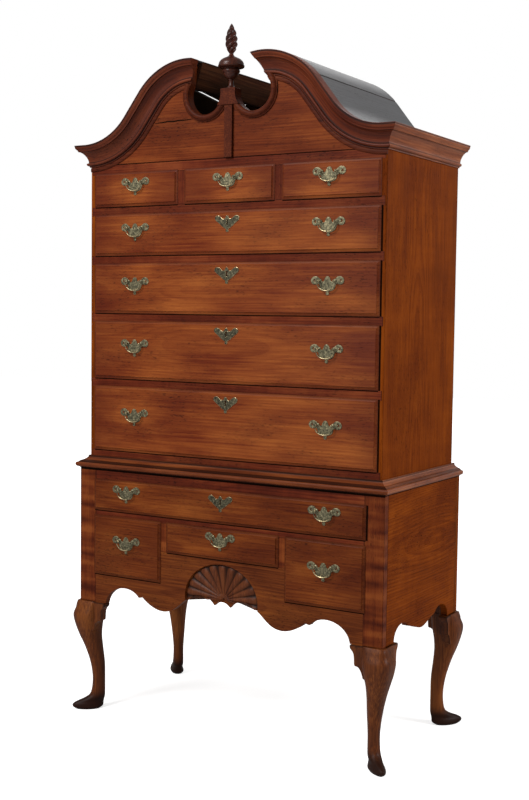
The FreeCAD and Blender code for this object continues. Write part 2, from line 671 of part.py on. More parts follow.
def opening_space(low_y, high_y):
    """The two round openings, each carried straight up beside the centre neck."""
    middle = number("opening_middle")
    radius = number("opening_radius")
    centre_z = number(OPENING_Z)
    bore = Part.makeCylinder(radius, high_y - low_y, VECTOR(middle, low_y, centre_z), VECTOR(0, 1, 0))
    inner = middle - radius
    outer = number("gap_half") + number("crown_out")
    rise = slab((inner, low_y, centre_z), (outer, high_y, number(CREST) + 1))
    right = bore.fuse(rise)
    neck_top = slab((-inner, low_y, number(PLINTH_FOOT)), (inner, high_y, number(CREST) + 1))
    return right.fuse([mirrored(right), neck_top])


def build_scroll_board():
    """The front of the bonnet: one wide board under the S-curves, pierced by two openings."""
    front = number(FRONT)
    back = front + number("scroll_board")
    half_width = number(UPPER_INSIDE)
    right = under_bonnet(number("roof_board"), front, back)
    face = right.fuse(mirrored(right)).removeSplitter()
    face = face.common(slab((-half_width, front, 0), (half_width, back, number(CREST))))
    face = face.cut(opening_space(front - 1, back + 1))
    node("scroll_board", [made("scroll_board_plank", face)])


def build_bonnet_roof():
    """Thin planks that run from front to back over the S-curve, five on each side."""
    front = number(FRONT)
    back = number(UPPER_BACK)
    shell = under_bonnet(0, front, back).cut(under_bonnet(number("roof_board"), front, back))
    low = number("gap_half")
    high = number(UPPER_HALF)
    pieces = []
    for count, (start, end) in enumerate(between(low, high, 5), start=1):
        plank = shell.common(slab((start, front - 1, 0), (end, back + 1, number(CREST) + 1)))
        pieces.append(made(f"roof_plank_right_{count}", plank))
        pieces.append(made(f"roof_plank_left_{count}", mirrored(plank)))
    node("bonnet_roof", pieces)


def crown_profile():
    """The crown's section in X and Z on the right-hand end, against the face at X = 0: a top
    fillet, an ovolo, a deep cove and a bead."""
    out = number("crown_out")
    tall = number("crown_height")
    cove_in = out * 0.24
    bead_out = out * 0.34
    edges = straight([(0, 0, 0), (out, 0, 0), (out, 0, -6), (out - 2, 0, -7)])
    edges.append(smooth([(out - 2, 0, -7), (out - 3, 0, -13), (out - 8, 0, -18)]))
    edges += straight([(out - 8, 0, -18), (out - 10, 0, -18.5)])
    edges.append(smooth([(out - 10, 0, -18.5), (out * 0.42, 0, -27), (cove_in, 0, 20 - tall)]))
    edges += straight([(cove_in, 0, 20 - tall), (bead_out - 2, 0, 19 - tall)])
    edges.append(Part.Arc(VECTOR(bead_out - 2, 0, 19 - tall), VECTOR(bead_out, 0, 12 - tall),
                          VECTOR(bead_out - 4, 0, 5 - tall)).toShape())
    edges += straight([(bead_out - 4, 0, 5 - tall), (bead_out - 7, 0, 4 - tall),
                       (bead_out - 7, 0, -tall), (0, 0, -tall), (0, 0, 0)])
    return edges


def scrolled_crown():
    """The right-hand front length: the crown's section carried along the bonnet's line, then
    mitred at the corner and at its inner end."""
    front = number(FRONT)
    out = number("crown_out")
    path = Part.Wire(bonnet_line(0))
    section = Part.Wire(Part.__sortEdges__(crown_profile()))
    start = path.Vertexes[0].Point
    section.rotate(VECTOR(0, 0, 0), VECTOR(0, 0, 1), -90)
    section.translate(start)
    run = path.makePipeShell([section], True, False)
    run.translate(VECTOR(0, front, 0))
    low = number(SCROLL_BASE) - 10
    high = number(CREST) + 1
    keep = mitre_wedge(number(UPPER_HALF), front, number(UPPER_HALF) + out + 5, front - out - 5, low, high)
    inner = number("gap_half") + out
    reach = out + 1
    end = straight([(0, front, low), (inner, front, low), (inner - reach, front - reach, low),
                    (0, front - reach, low), (0, front, low)])
    return run.common(keep).cut(prism(end, (0, 0, high - low)))


def build_crown_moulding():
    """Scrolled lengths on the front, and straight returns back along both sides."""
    front = number(FRONT)
    out = number("crown_out")
    half_width = number(UPPER_HALF)
    scroll = scrolled_crown()
    bar = prism(crown_profile(), (0, number("upper_depth") + out + 2, 0))
    bar.translate(VECTOR(half_width, front - out - 2, number(CROWN_LOW)))
    wedge = mitre_wedge(half_width, front, half_width + out + 5, front - out - 5, number(SCROLL_BASE) - 10,
                        number(CROWN_LOW) + 1)
    side = bar.cut(wedge)
    node("crown_moulding", [made("scroll_right", scroll), made("scroll_left", mirrored(scroll)),
                            made("return_right", side), made("return_left", mirrored(side))])
    return scroll


def build_scroll_rings(scroll):
    """A half-round band bent round the lower part of each opening, from the crown's bead to the
    centre plinth."""
    front = number(FRONT)
    inner = number("opening_radius")
    width = number("ring_width")
    out = number("ring_out")
    middle = number("opening_middle")
    centre_z = number(OPENING_Z)
    edges = straight([(inner, 0, 0), (inner + width, 0, 0), (inner + width, -3, 0),
                      (inner + width - 3, -4, 0)])
    edges.append(Part.Arc(VECTOR(inner + width - 3, -4, 0), VECTOR(inner + width / 2, -out, 0),
                          VECTOR(inner, -5, 0)).toShape())
    edges += straight([(inner, -5, 0), (inner, 0, 0)])
    face = Part.Face(Part.Wire(Part.__sortEdges__(edges)))
    ring = face.revolve(VECTOR(0, 0, 0), VECTOR(0, 1, 0), 360)
    ring.translate(VECTOR(middle, front, centre_z))
    ring = ring.cut(slab((0, front - 50, number(PLINTH_FOOT)), (middle - inner, front + 1, number(CREST))))
    crown_end = number("gap_half") + number("crown_out")
    ring = ring.cut(slab((0, front - 50, centre_z), (crown_end, front + 1, number(CREST))))
    ring = ring.cut(scroll)
    pieces = [solid for solid in ring.Solids if solid.BoundBox.ZMin < centre_z]
    right = pieces[0]
    node("scroll_rings", [made("ring_right", right), made("ring_left", mirrored(right))])


def build_finial_plinth():
    """The strip up the middle of the scroll board, and the block on the board's neck that carries
    the finial, capped with a low pyramid and bored for its peg."""
    front = number(FRONT)
    strip_half = number("strip_width") / 2
    block_half = number("plinth_width") / 2
    foot = number(PLINTH_FOOT)
    top = number(PLINTH_TOP)
    strip = slab((-strip_half, front - number("strip_out"), number(SCROLL_BASE)), (strip_half, front, foot))
    for way in (1, -1):
        middle = way * number("opening_middle")
        strip = strip.cut(Part.makeCylinder(number("opening_radius") + number("ring_width"), 60,
                                            VECTOR(middle, front - 50, number(OPENING_Z)), VECTOR(0, 1, 0)))
    strip = max(strip.Solids, key=lambda solid: solid.Volume)
    out = number("plinth_out")
    back = front + number("scroll_board")
    cap_top = top + number("plinth_cap")
    block = slab((-block_half, front - out, foot), (block_half, back, top))
    rings = []
    for edge, level in ((0, top), (block_half * 0.45, cap_top)):
        side = block_half - edge
        near = front - out + edge
        far = back - edge
        rings.append(Part.Wire(straight([(-side, near, level), (side, near, level), (side, far, level),
                                         (-side, far, level), (-side, near, level)])))
    cap = Part.makeLoft(rings, True, True)
    peg = Part.makeCylinder(number("finial_peg_radius") + number("peg_play"),
                            number("finial_peg_length") + 1,
                            VECTOR(0, finial_y(), cap_top - number("finial_peg_length") - 1))
    block = block.fuse(cap).removeSplitter().cut(peg)
    node("finial_plinth", [made("centre_strip", strip), made("plinth_block", block)])


def finial_y():
    """The finial's axis: the middle of the plinth block, which stands on the scroll board's neck."""
    return number(FRONT) + (number("scroll_board") - number("plinth_out")) / 2


def build_finial():
    """A turned urn with a domed lid and a flame, and the peg that holds it in the plinth."""
    urn = number("finial_urn_radius")
    vase = number("finial_vase_radius")
    neck = number("finial_neck_radius")
    flame = number("finial_flame_radius")
    rise = number("finial_urn_height")
    flame_rise = number("finial_flame_height")
    base = number(PLINTH_TOP) + number("plinth_cap")
    edges = straight([(0, 0, base), (13, 0, base), (13, 0, base + 4)])
    edges.append(smooth([(13, 0, base + 4), (neck + 1, 0, base + 9), (neck, 0, base + 15),
                         (vase * 0.75, 0, base + rise * 0.3), (vase, 0, base + rise * 0.43),
                         (vase - 1, 0, base + rise * 0.51)]))
    edges += straight([(vase - 1, 0, base + rise * 0.51), (urn - 8, 0, base + rise * 0.53)])
    edges.append(smooth([(urn - 8, 0, base + rise * 0.53), (urn, 0, base + rise * 0.62),
                         (urn - 4, 0, base + rise * 0.76), (urn * 0.5, 0, base + rise * 0.92),
                         (neck - 2, 0, base + rise)]))
    lid = base + rise
    tip = lid + flame_rise
    edges.append(smooth([(neck - 2, 0, lid), (flame * 0.8, 0, lid + flame_rise * 0.22),
                         (flame, 0, lid + flame_rise * 0.5), (flame * 0.7, 0, lid + flame_rise * 0.78),
                         (0, 0, tip)]))
    edges += straight([(0, 0, tip), (0, 0, base)])
    half_turning = Part.Face(Part.Wire(Part.__sortEdges__(edges)))
    turning = half_turning.revolve(VECTOR(0, 0, 0), VECTOR(0, 0, 1), 360)
    peg = Part.makeCylinder(number("finial_peg_radius"), number("finial_peg_length"),
                            VECTOR(0, 0, base - number("finial_peg_length")))
    turning = turning.fuse(peg).removeSplitter()
    turning.translate(VECTOR(0, finial_y(), 0))
    node("finial", [made("finial_turning", turning)])


# --- Drawers ---------------------------------------------------------------------------------
def rectangle(body, name, inset_side, inset_top, inset_foot, width, height):
    """A sketched rectangle on a body's upright plane, bound to insets from its lower left corner."""
    sketch = body.newObject("Sketcher::SketchObject", name)
    plane = next(item for item in body.Origin.OriginFeatures if item.Role == "XZ_Plane")
    sketch.AttachmentSupport = [(plane, "")]
    sketch.MapMode = "FlatFace"
    corners = [(1, 1), (2, 1), (2, 2), (1, 2)]
    for first, second in zip(corners, corners[1:] + corners[:1]):
        sketch.addGeometry(Part.LineSegment(VECTOR(*first, 0), VECTOR(*second, 0)))
    for line in range(4):
        sketch.addConstraint(Sketcher.Constraint("Coincident", line, 2, (line + 1) % 4, 1))
    for line, kind in enumerate(("Horizontal", "Vertical", "Horizontal", "Vertical")):
        sketch.addConstraint(Sketcher.Constraint(kind, line))
    spans = (("DistanceX", 0, 1, 0, 2, f"({width}) - 2 * ({inset_side})"),
             ("DistanceY", 1, 1, 1, 2, f"({height}) - ({inset_top}) - ({inset_foot})"))
    for kind, line, start, other, end, words in spans:
        place = sketch.addConstraint(Sketcher.Constraint(kind, line, start, other, end, 1.0))
        sketch.setExpression(f"Constraints[{place}]", formula(words))
    for kind, words in (("DistanceX", inset_side), ("DistanceY", inset_foot)):
        if words == "0":
            other_way = "PointOnObject"
            axis = -2 if kind == "DistanceX" else -1
            sketch.addConstraint(Sketcher.Constraint(other_way, 0, 1, axis))
        else:
            place = sketch.addConstraint(Sketcher.Constraint(kind, -1, 1, 0, 1, 1.0))
            sketch.setExpression(f"Constraints[{place}]", formula(words))
    return sketch


def pad(body, name, sketch, length, to_the_back):
    """A pad of a sketch, towards the front or the back."""
    feature = body.newObject("PartDesign::Pad", name)
    feature.Profile = sketch
    feature.setExpression("Length", formula(length))
    feature.Reversed = to_the_back
    return feature


def lipped_front(name, left, width, face, low, height):
    """A drawer front as a body: a lip with rounded arrises that laps over the case's front, and
    the rebated block behind it that fills the opening."""
    body = doc.addObject("PartDesign::Body", name)
    bind(body, "Placement.Base.x", left)
    bind(body, "Placement.Base.y", face)
    bind(body, "Placement.Base.z", low)
    pad(body, f"{name}_lip", rectangle(body, f"{name}_lip_sketch", "0", "0", "0", width, height),
        minus("lip_proud", "running_gap"), False)
    pad(body, f"{name}_block",
        rectangle(body, f"{name}_block_sketch", plus("lip_side", "side_play"),
                  plus("lip_top", "side_play"), "running_gap", width, height), "front_inset", True)
    doc.recompute()
    block = body.Tip
    nearest = min(edge.BoundBox.YMin for edge in block.Shape.Edges)
    arrises = [f"Edge{count}" for count, edge in enumerate(block.Shape.Edges, start=1)
               if edge.BoundBox.YMax < nearest + 0.01]
    rounding = body.newObject("PartDesign::Fillet", f"{name}_rounding")
    rounding.Base = (block, arrises)
    rounding.setExpression("Radius", formula("lip_round"))
    body.Tip = rounding
    return body


# Half outlines of the plates, from the peak down to the foot of the drop: across in half widths
# and up in heights.
BAT_WING = [(0, 1), (0.07, 0.985), (0.13, 0.93), (0.173, 0.846), (0.208, 0.765), (0.275, 0.72),
            (0.357, 0.735), (0.439, 0.827), (0.529, 0.923), (0.627, 0.985), (0.735, 1), (0.853, 0.973),
            (0.949, 0.9), (1, 0.788), (0.973, 0.673), (0.894, 0.592), (0.796, 0.562), (0.698, 0.573),
            (0.608, 0.596), (0.541, 0.585), (0.494, 0.527), (0.471, 0.442), (0.427, 0.354),
            (0.341, 0.277), (0.227, 0.231), (0.129, 0.208), (0.075, 0.169), (0.094, 0.115),
            (0.096, 0.062), (0.059, 0.015), (0, 0)]
LOCK_WING = [(0, 1), (0.078, 0.968), (0.132, 0.896), (0.185, 0.819), (0.28, 0.781), (0.39, 0.819),
             (0.512, 0.904), (0.634, 0.974), (0.78, 1), (0.915, 0.964), (1, 0.862), (0.976, 0.747),
             (0.866, 0.653), (0.707, 0.555), (0.537, 0.436), (0.341, 0.302), (0.195, 0.223),
             (0.112, 0.181), (0.098, 0.138), (0.127, 0.096), (0.112, 0.04), (0.063, 0.011), (0, 0)]


def winged(half_outline, width, height, low):
    """The closed outline of a winged plate at Y = 0, as wide and high as asked, with its foot at
    low."""
    across = width / 2
    right = [(across * x, 0, low + height * z) for x, z in half_outline]
    left = [(-x, y, z) for x, y, z in reversed(right)]
    curve = Part.BSplineCurve()
    curve.interpolate([VECTOR(*point) for point in right + left[1:-1]], PeriodicFlag=True)
    return [curve.toShape()]


def plate_shape():
    """A pull's back plate, bored for its two posts, with its front face at -plate_thickness."""
    thick = number("plate_thickness")
    tall = number("plate_height")
    outline = winged(BAT_WING, number("plate_width"), tall, -number("plate_below_posts"))
    plate = prism(outline, (0, -thick, 0))
    for way in (1, -1):
        plate = plate.cut(Part.makeCylinder(number("post_radius") + number("post_play"), 3 * thick,
                                            VECTOR(way * number("post_spacing") / 2, -2 * thick, 0),
                                            VECTOR(0, 1, 0)))
    return plate


def escutcheon_shape():
    """A lock's plate: two straight wings and a pointed peak, with a keyhole through it."""
    thick = number("plate_thickness")
    outline = winged(LOCK_WING, number("lock_plate_width"), number("lock_plate_height"),
                     -number("lock_plate_below_key"))
    plate = prism(outline, (0, -thick, 0))
    key = number("key_radius")
    hole = Part.makeCylinder(key, 3 * thick, VECTOR(0, -2 * thick, 0), VECTOR(0, 1, 0))
    return plate.cut(hole.fuse(slab((-key * 0.5, -2 * thick, -4 * key), (key * 0.5, thick, 0))))


def post_shape():
    """A bail post: a shank through the drawer front and a round head bored along X for the bail."""
    stand = number("post_stand") + number("plate_thickness")
    reach = number(plus("lip_proud", "front_inset", "nut_thickness")) + 3
    shank = Part.makeCylinder(number("post_radius"), stand + reach, VECTOR(0, -stand, 0), VECTOR(0, 1, 0))
    head = Part.makeSphere(number("post_head"), VECTOR(0, -stand, 0))
    bore = Part.makeCylinder(number("pivot_radius") + number("pivot_play"), 20, VECTOR(-10, -stand, 0),
                             VECTOR(1, 0, 0))
    return shank.fuse(head).removeSplitter().cut(bore)


def bail_shape():
    """A swinging bail about the X axis: a round bow that hangs between its two inward pins."""
    across = number(plus(half("post_spacing"), "post_head", "bail_play", "bail_radius"))
    drop = number("bail_drop")
    radius = (across ** 2 + drop ** 2) / (2 * drop)
    wire = number("bail_radius")
    spread = math.degrees(math.asin(across / radius))
    circle = Part.Face(Part.Wire(Part.makeCircle(wire, VECTOR(0, 0, -radius), VECTOR(1, 0, 0))))
    circle.rotate(VECTOR(0, 0, 0), VECTOR(0, 1, 0), -spread)
    bow = circle.revolve(VECTOR(0, 0, 0), VECTOR(0, 1, 0), 2 * spread)
    bow.translate(VECTOR(0, 0, radius - drop))
    pins = []
    for way in (1, -1):
        end = way * (number(half("post_spacing")) - 2)
        pins.append(Part.makeCylinder(number("pivot_radius"), across - abs(end), VECTOR(end, 0, 0),
                                      VECTOR(way, 0, 0)))
        pins.append(Part.makeSphere(wire, VECTOR(way * across, 0, 0)))
    return bow.fuse(pins).removeSplitter()


PLATE = plate_shape()
ESCUTCHEON = escutcheon_shape()
POST = post_shape()
BAIL = bail_shape()


def placed(name, shape, place):
    """A copy of a repeated piece at a place given in formulas of the sizes."""
    piece = made(name, shape)
    piece.Placement = FreeCAD.Placement(VECTOR(*[number(words) for words in place]), UPRIGHT)
    return piece


def build_drawer(name, left, width, low, height, case_face, back, pulls, lock):
    """One drawer: the lipped front, two sides, back and bottom as one node, its brasses as
    another, and each bail as a node of its own.  Pulls are X places."""
    front_face = minus(case_face, "lip_proud")
    back_of_lip = minus(case_face, "running_gap")
    back_of_front = plus(back_of_lip, "front_inset")
    right = plus(left, width)
    pull_z = plus(low, half(height), "pull_rise")
    front = lipped_front(f"{name}_front", left, width, back_of_lip, low, height)
    cutters = []
    brasses = []
    for count, across in enumerate(pulls, start=1):
        for word, way in (("left", "-"), ("right", "+")):
            post_x = f"({across} {way} post_spacing / 2)"
            cutters.append(rod(f"{name}_bore_{count}_{word}", plus("post_radius", "post_play"),
                               plus("lip_proud", "front_inset", "lip_proud"),
                               (post_x, minus(front_face, 1), pull_z), TO_THE_BACK))
            brasses.append(placed(f"{name}_post_{count}_{word}", POST, (post_x, front_face, pull_z)))
            nut = board(f"{name}_nut_blank_{count}_{word}",
                        (minus(post_x, half("nut_size")), plus(post_x, half("nut_size"))),
                        (back_of_front, plus(back_of_front, "nut_thickness")),
                        (minus(pull_z, half("nut_size")), plus(pull_z, half("nut_size"))))
            thread = rod(f"{name}_nut_bore_{count}_{word}", plus("post_radius", "pivot_play"),
                         "nut_thickness * 3", (post_x, minus(back_of_front, "nut_thickness"), pull_z),
                         TO_THE_BACK)
            brasses.append(cut(f"{name}_nut_{count}_{word}", nut, [thread]))
        brasses.append(placed(f"{name}_plate_{count}", PLATE, (across, front_face, pull_z)))
    middle = plus(left, half(width))
    if lock:
        lock_z = minus(plus(low, height), "lock_drop")
        lock_box = ((minus(middle, half("lock_width")), plus(middle, half("lock_width"))),
                    (minus(back_of_front, "lock_thickness"), back_of_front),
                    (minus(plus(low, height, "-1 * lip_top", "-1 * side_play"), "lock_height"),
                     plus(low, height, "-1 * lip_top", "-1 * side_play")))
        cutters.append(board(f"{name}_lock_recess", *lock_box))
        cutters.append(rod(f"{name}_keyway", "key_radius", plus("lip_proud", "front_inset"),
                           (middle, minus(front_face, 1), lock_z), TO_THE_BACK))
        brasses.append(board(f"{name}_lock_case", *lock_box))
        brasses.append(placed(f"{name}_escutcheon", ESCUTCHEON, (middle, front_face, lock_z)))
    bored_front = cut(f"{name}_front_bored", front, cutters)
    outer_left = plus(left, "lip_side", "side_play")
    outer_right = minus(right, plus("lip_side", "side_play"))
    floor = plus(low, "running_gap")
    side_top = minus(plus(low, height), plus("lip_top", "drawer_side_drop"))
    inner_left = plus(outer_left, "drawer_side_board")
    inner_right = minus(outer_right, "drawer_side_board")
    bottom_top = plus(floor, "drawer_bottom_rise")
    pieces = [
        bored_front,
        board(f"{name}_left_side", (outer_left, inner_left), (back_of_front, back), (floor, side_top)),
        board(f"{name}_right_side", (inner_right, outer_right), (back_of_front, back), (floor, side_top)),
        board(f"{name}_back", (inner_left, inner_right), (minus(back, "drawer_side_board"), back),
              (bottom_top, side_top)),
        board(f"{name}_bottom", (inner_left, inner_right), (back_of_front, back),
              (minus(bottom_top, "drawer_bottom_board"), bottom_top)),
    ]
    node(name, pieces)
    node(f"{name}_brasses", brasses)
    hinge_y = minus(front_face, plus("plate_thickness", "post_stand"))
    for count, across in enumerate(pulls, start=1):
        label = f"{name}_bail" if len(pulls) == 1 else f"{name}_bail_{count}"
        node(label, [placed(f"{label}_bow", BAIL, (across, hinge_y, pull_z))])


def build_drawers():
    """Eleven drawers: three small and four long above, one long and three small below."""
    upper_half = plus(UPPER_INSIDE, "lip_side")
    small_left = plus("small_drawer_half", "small_divider_face")
    side_width = minus(upper_half, small_left)
    upper = (FRONT, minus(UPPER_BACK, plus("back_board", "upper_drawer_gap")))
    lower = (LOWER_FRONT, minus(LOWER_BACK, plus("case_board", "lower_drawer_gap")))
    pull = minus(upper_half, "upper_pull_inset")
    two = (negative(pull), pull)
    build_drawer("small_drawer_left", negative(upper_half), side_width, SMALL_Z, "row_small",
                 *upper, (two[0],), False)
    build_drawer("small_drawer_centre", negative("small_drawer_half"), "(small_drawer_half * 2)", SMALL_Z,
                 "row_small", *upper, ("0",), False)
    build_drawer("small_drawer_right", small_left, side_width, SMALL_Z, "row_small", *upper,
                 (two[1],), False)
    for count, (_, low, height) in enumerate(reversed(ROWS[:4]), start=1):
        build_drawer(f"long_drawer_{count}", negative(upper_half), f"({upper_half} * 2)", low, height,
                     *upper, two, True)
    lower_half = plus(STILE_INSIDE, "lip_side")
    side_left = plus("centre_drawer_half", "lower_divider_face")
    pull = minus(lower_half, "lower_pull_inset")
    build_drawer("lower_long_drawer", negative(lower_half), f"({lower_half} * 2)", LOWER_LONG_Z,
                 "lower_long", *lower, (negative(pull), pull), True)
    build_drawer("lower_left_drawer", negative(lower_half), minus(lower_half, side_left), SIDE_DRAWER_Z,
                 "side_drawer", *lower, (negative(pull),), False)
    build_drawer("lower_centre_drawer", negative("centre_drawer_half"), "(centre_drawer_half * 2)",
                 CENTRE_DRAWER_Z, "centre_drawer", *lower, ("0",), False)
    build_drawer("lower_right_drawer", side_left, minus(lower_half, side_left), SIDE_DRAWER_Z,
                 "side_drawer", *lower, (pull,), False)


build_lower_sides()
build_lower_back()
build_front_apron()
build_lower_front_frame()
build_lower_runners()
build_waist_moulding()
build_legs()
build_upper_sides()
build_upper_boards()
build_upper_back()
build_upper_front_rails()
build_upper_runners()
build_scroll_board()
build_bonnet_roof()
right_scroll = build_crown_moulding()
build_scroll_rings(right_scroll)
build_finial_plinth()
build_finial()
build_drawers()
doc.recompute()

for thing in doc.Objects:
    if {"Invalid", "Error"} & set(thing.State):
        raise RuntimeError(f"{thing.Label} failed: {thing.State}")
os.makedirs("parts", exist_ok=True)
for sub_part in nodes:
    shape = sub_part.Shape
    if shape.isNull() or not shape.isValid() or not shape.Solids:
        raise RuntimeError(f"{sub_part.Label} has no valid shape")
    shape.exportStep(f"parts/{sub_part.Label}.step")
    print(f"{sub_part.Label}: {len(shape.Solids)} solids, {shape.Volume / 1000:.1f} cm3")
print(len(nodes), "sub-parts")
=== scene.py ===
"""A highboy: a bonnet-top chest of drawers on a lower case with cabriole legs, in old cherry
with brass pulls.  Metres.  X runs to the right, Y to the back and Z up, from the floor midway
between the feet."""
import json
import math

import bpy
import bmesh
import numpy as np
from mathutils import Matrix, Vector

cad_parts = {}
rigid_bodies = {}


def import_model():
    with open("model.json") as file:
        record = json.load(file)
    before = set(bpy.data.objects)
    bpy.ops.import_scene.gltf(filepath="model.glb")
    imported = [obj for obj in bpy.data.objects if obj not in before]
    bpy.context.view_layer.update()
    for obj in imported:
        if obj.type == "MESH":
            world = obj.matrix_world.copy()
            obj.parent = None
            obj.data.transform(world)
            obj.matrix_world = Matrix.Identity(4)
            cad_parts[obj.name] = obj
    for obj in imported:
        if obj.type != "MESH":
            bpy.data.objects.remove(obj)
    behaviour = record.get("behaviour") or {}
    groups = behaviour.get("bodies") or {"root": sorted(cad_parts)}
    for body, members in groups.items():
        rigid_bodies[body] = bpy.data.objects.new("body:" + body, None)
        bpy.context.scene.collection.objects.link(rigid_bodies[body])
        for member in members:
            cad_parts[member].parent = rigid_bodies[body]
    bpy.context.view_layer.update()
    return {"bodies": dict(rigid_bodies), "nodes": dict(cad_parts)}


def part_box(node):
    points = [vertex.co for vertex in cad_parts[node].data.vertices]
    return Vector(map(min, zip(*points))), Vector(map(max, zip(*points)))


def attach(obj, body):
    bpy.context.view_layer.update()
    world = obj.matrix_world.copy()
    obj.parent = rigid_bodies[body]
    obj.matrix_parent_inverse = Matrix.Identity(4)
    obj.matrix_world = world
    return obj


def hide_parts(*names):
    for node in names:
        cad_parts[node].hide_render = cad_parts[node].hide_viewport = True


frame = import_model()


# --- The room: camera, floor, world and lamps -------------------------
# The highboy stands on a pale floor in a white studio.  A large soft lamp on the left and in
# front lights the drawers, and a dimmer one on the right lights the side boards.
EYE = Vector((1.917, -3.2024, 1.2354))
TURN, DOWN, TILT = (math.radians(angle) for angle in (31.097, 4.006, 0.694))
IMAGE_HEIGHT = 800
FOCAL_PIXELS = 1236.56
SENSOR_HEIGHT = 24

camera = bpy.data.objects.new("camera", bpy.data.cameras.new("camera"))
camera.data.sensor_fit = "VERTICAL"
camera.data.sensor_height = SENSOR_HEIGHT
camera.data.lens = FOCAL_PIXELS / IMAGE_HEIGHT * SENSOR_HEIGHT
camera.matrix_world = (Matrix.Translation(EYE) @ Matrix.Rotation(TURN, 4, "Z")
                       @ Matrix.Rotation(math.pi / 2 - DOWN, 4, "X") @ Matrix.Rotation(TILT, 4, "Z"))
bpy.context.collection.objects.link(camera)
bpy.context.scene.camera = camera
bpy.context.scene.view_settings.view_transform = "Standard"


class Signal:
    """A socket of a material's nodes.  Arithmetic between signals and numbers adds Math nodes, and
    node() adds any other node to the same tree."""

    def __init__(self, tree, socket=None):
        self.tree = tree
        self.socket = socket

    def node(self, kind, inputs=(), output=0, stops=(), **settings):
        """Add a node, set it up, then give its sockets their values or links."""
        made = self.tree.nodes.new(kind)
        for name, value in settings.items():
            setattr(made, name, value)
        for count, (place, colour) in enumerate(stops):
            ramp = made.color_ramp.elements
            stop = ramp[count] if count < 2 else ramp.new(place)
            stop.position = place
            stop.color = (*colour, 1)
        for key, value in dict(inputs).items():
            if isinstance(value, Signal):
                self.tree.links.new(value.socket, made.inputs[key])
            else:
                made.inputs[key].default_value = value
        return Signal(self.tree, made.outputs[output])

    def maths(self, operation, *others):
        return self.node("ShaderNodeMath", enumerate((self, *others)), operation=operation)

    def __add__(self, other):
        return self.maths("ADD", other)

    def __sub__(self, other):
        return self.maths("SUBTRACT", other)

    def __rsub__(self, other):
        return self.node("ShaderNodeMath", {0: other, 1: self}, operation="SUBTRACT")

    def __mul__(self, other):
        return self.maths("MULTIPLY", other)

    __radd__ = __add__
    __rmul__ = __mul__

    def step(self, low, high):
        """0 below low, 1 above high, and a smooth rise between."""
        return self.node("ShaderNodeMapRange", {0: self, 1: low, 2: high}, interpolation_type="SMOOTHSTEP")

    def stored(self, name):
        """A vector that is stored with the mesh's points."""
        return self.node("ShaderNodeAttribute", attribute_name=name, output="Vector")

    def stretched(self, *factors):
        """This vector with each part multiplied."""
        return self.node("ShaderNodeVectorMath", {0: self, 1: factors}, operation="MULTIPLY")

    def noise(self, detail=2.0, roughness=0.5):
        """Soft noise from 0 to 1, with cells about one unit of this vector wide."""
        return self.node("ShaderNodeTexNoise", {"Vector": self, "Scale": 1.0, "Detail": detail,
                                                "Roughness": roughness})

    def parts(self):
        return [self.node("ShaderNodeSeparateXYZ", {0: self}, output=axis) for axis in range(3)]

    def tinted(self, amount, colour):
        """This colour, mixed by the amount towards another colour."""
        return self.node("ShaderNodeMix", {0: amount, 6: self, 7: (*colour, 1)}, output=2, data_type="RGBA")

    def bump(self, distance):
        """A normal that is tilted as if this signal were the surface's height."""
        return self.node("ShaderNodeBump", {"Height": self, "Strength": 0.3, "Distance": distance})

    def feed(self, shader, name):
        """Link this signal to one of a shader's sockets."""
        self.tree.links.new(self.socket, shader.inputs[name])


def new_material(name):
    """A material with its surface shader, and a signal from which its nodes are started."""
    material = bpy.data.materials.new(name)
    material.use_nodes = True
    return material, material.node_tree.nodes["Principled BSDF"], Signal(material.node_tree)


# The floor glows a little, and more so far away, so that it fades into the white of the room.
FLOOR_REACH = 14
FADE_START, FADE_END = 1.5, 6
floor_mesh = bpy.data.meshes.new("floor")
corners = [(x * FLOOR_REACH, y * FLOOR_REACH, 0) for x, y in ((-1, -1), (1, -1), (1, 1), (-1, 1))]
floor_mesh.from_pydata(corners, [], [(0, 1, 2, 3)])
floor = bpy.data.objects.new("floor", floor_mesh)
bpy.context.collection.objects.link(floor)
pale, shader, start = new_material("pale_floor")
shader.inputs["Roughness"].default_value = 0.9
shader.inputs["Emission Color"].default_value = (1, 1, 1, 1)
seen = start.node("ShaderNodeLightPath", output="Is Camera Ray")
place = start.node("ShaderNodeTexCoord", output="Object")
far = start.node("ShaderNodeVectorMath", {0: place}, output=1, operation="LENGTH").step(FADE_START, FADE_END)
tone = start.node("ShaderNodeMix", {0: seen, 6: (0.55, 0.55, 0.55, 1), 7: (0.9, 0.9, 0.9, 1)}, output=2,
                  data_type="RGBA")
tone.feed(shader, "Base Color")
(seen * (0.66 + 0.5 * far)).feed(shader, "Emission Strength")
floor.data.materials.append(pale)

world = bpy.data.worlds.new("studio")
bpy.context.scene.world = world
world.use_nodes = True
sky = Signal(world.node_tree)
seen, mirrored, through = (sky.node("ShaderNodeLightPath", output=f"Is {kind} Ray")
                           for kind in ("Camera", "Glossy", "Transmission"))
background = world.node_tree.nodes["Background"]
background.inputs["Color"].default_value = (1, 1, 1, 1)
(0.32 + 0.68 * seen + 0.08 * mirrored + 0.3 * through).feed(background, "Strength")


def lamp(name, place, target, size, watts):
    """A square soft lamp at a place, turned to a target."""
    light = bpy.data.lights.new(name, "AREA")
    light.size = size
    light.energy = watts
    thing = bpy.data.objects.new(name, light)
    thing.location = place
    thing.rotation_euler = (Vector(target) - Vector(place)).to_track_quat("-Z", "Y").to_euler()
    bpy.context.collection.objects.link(thing)


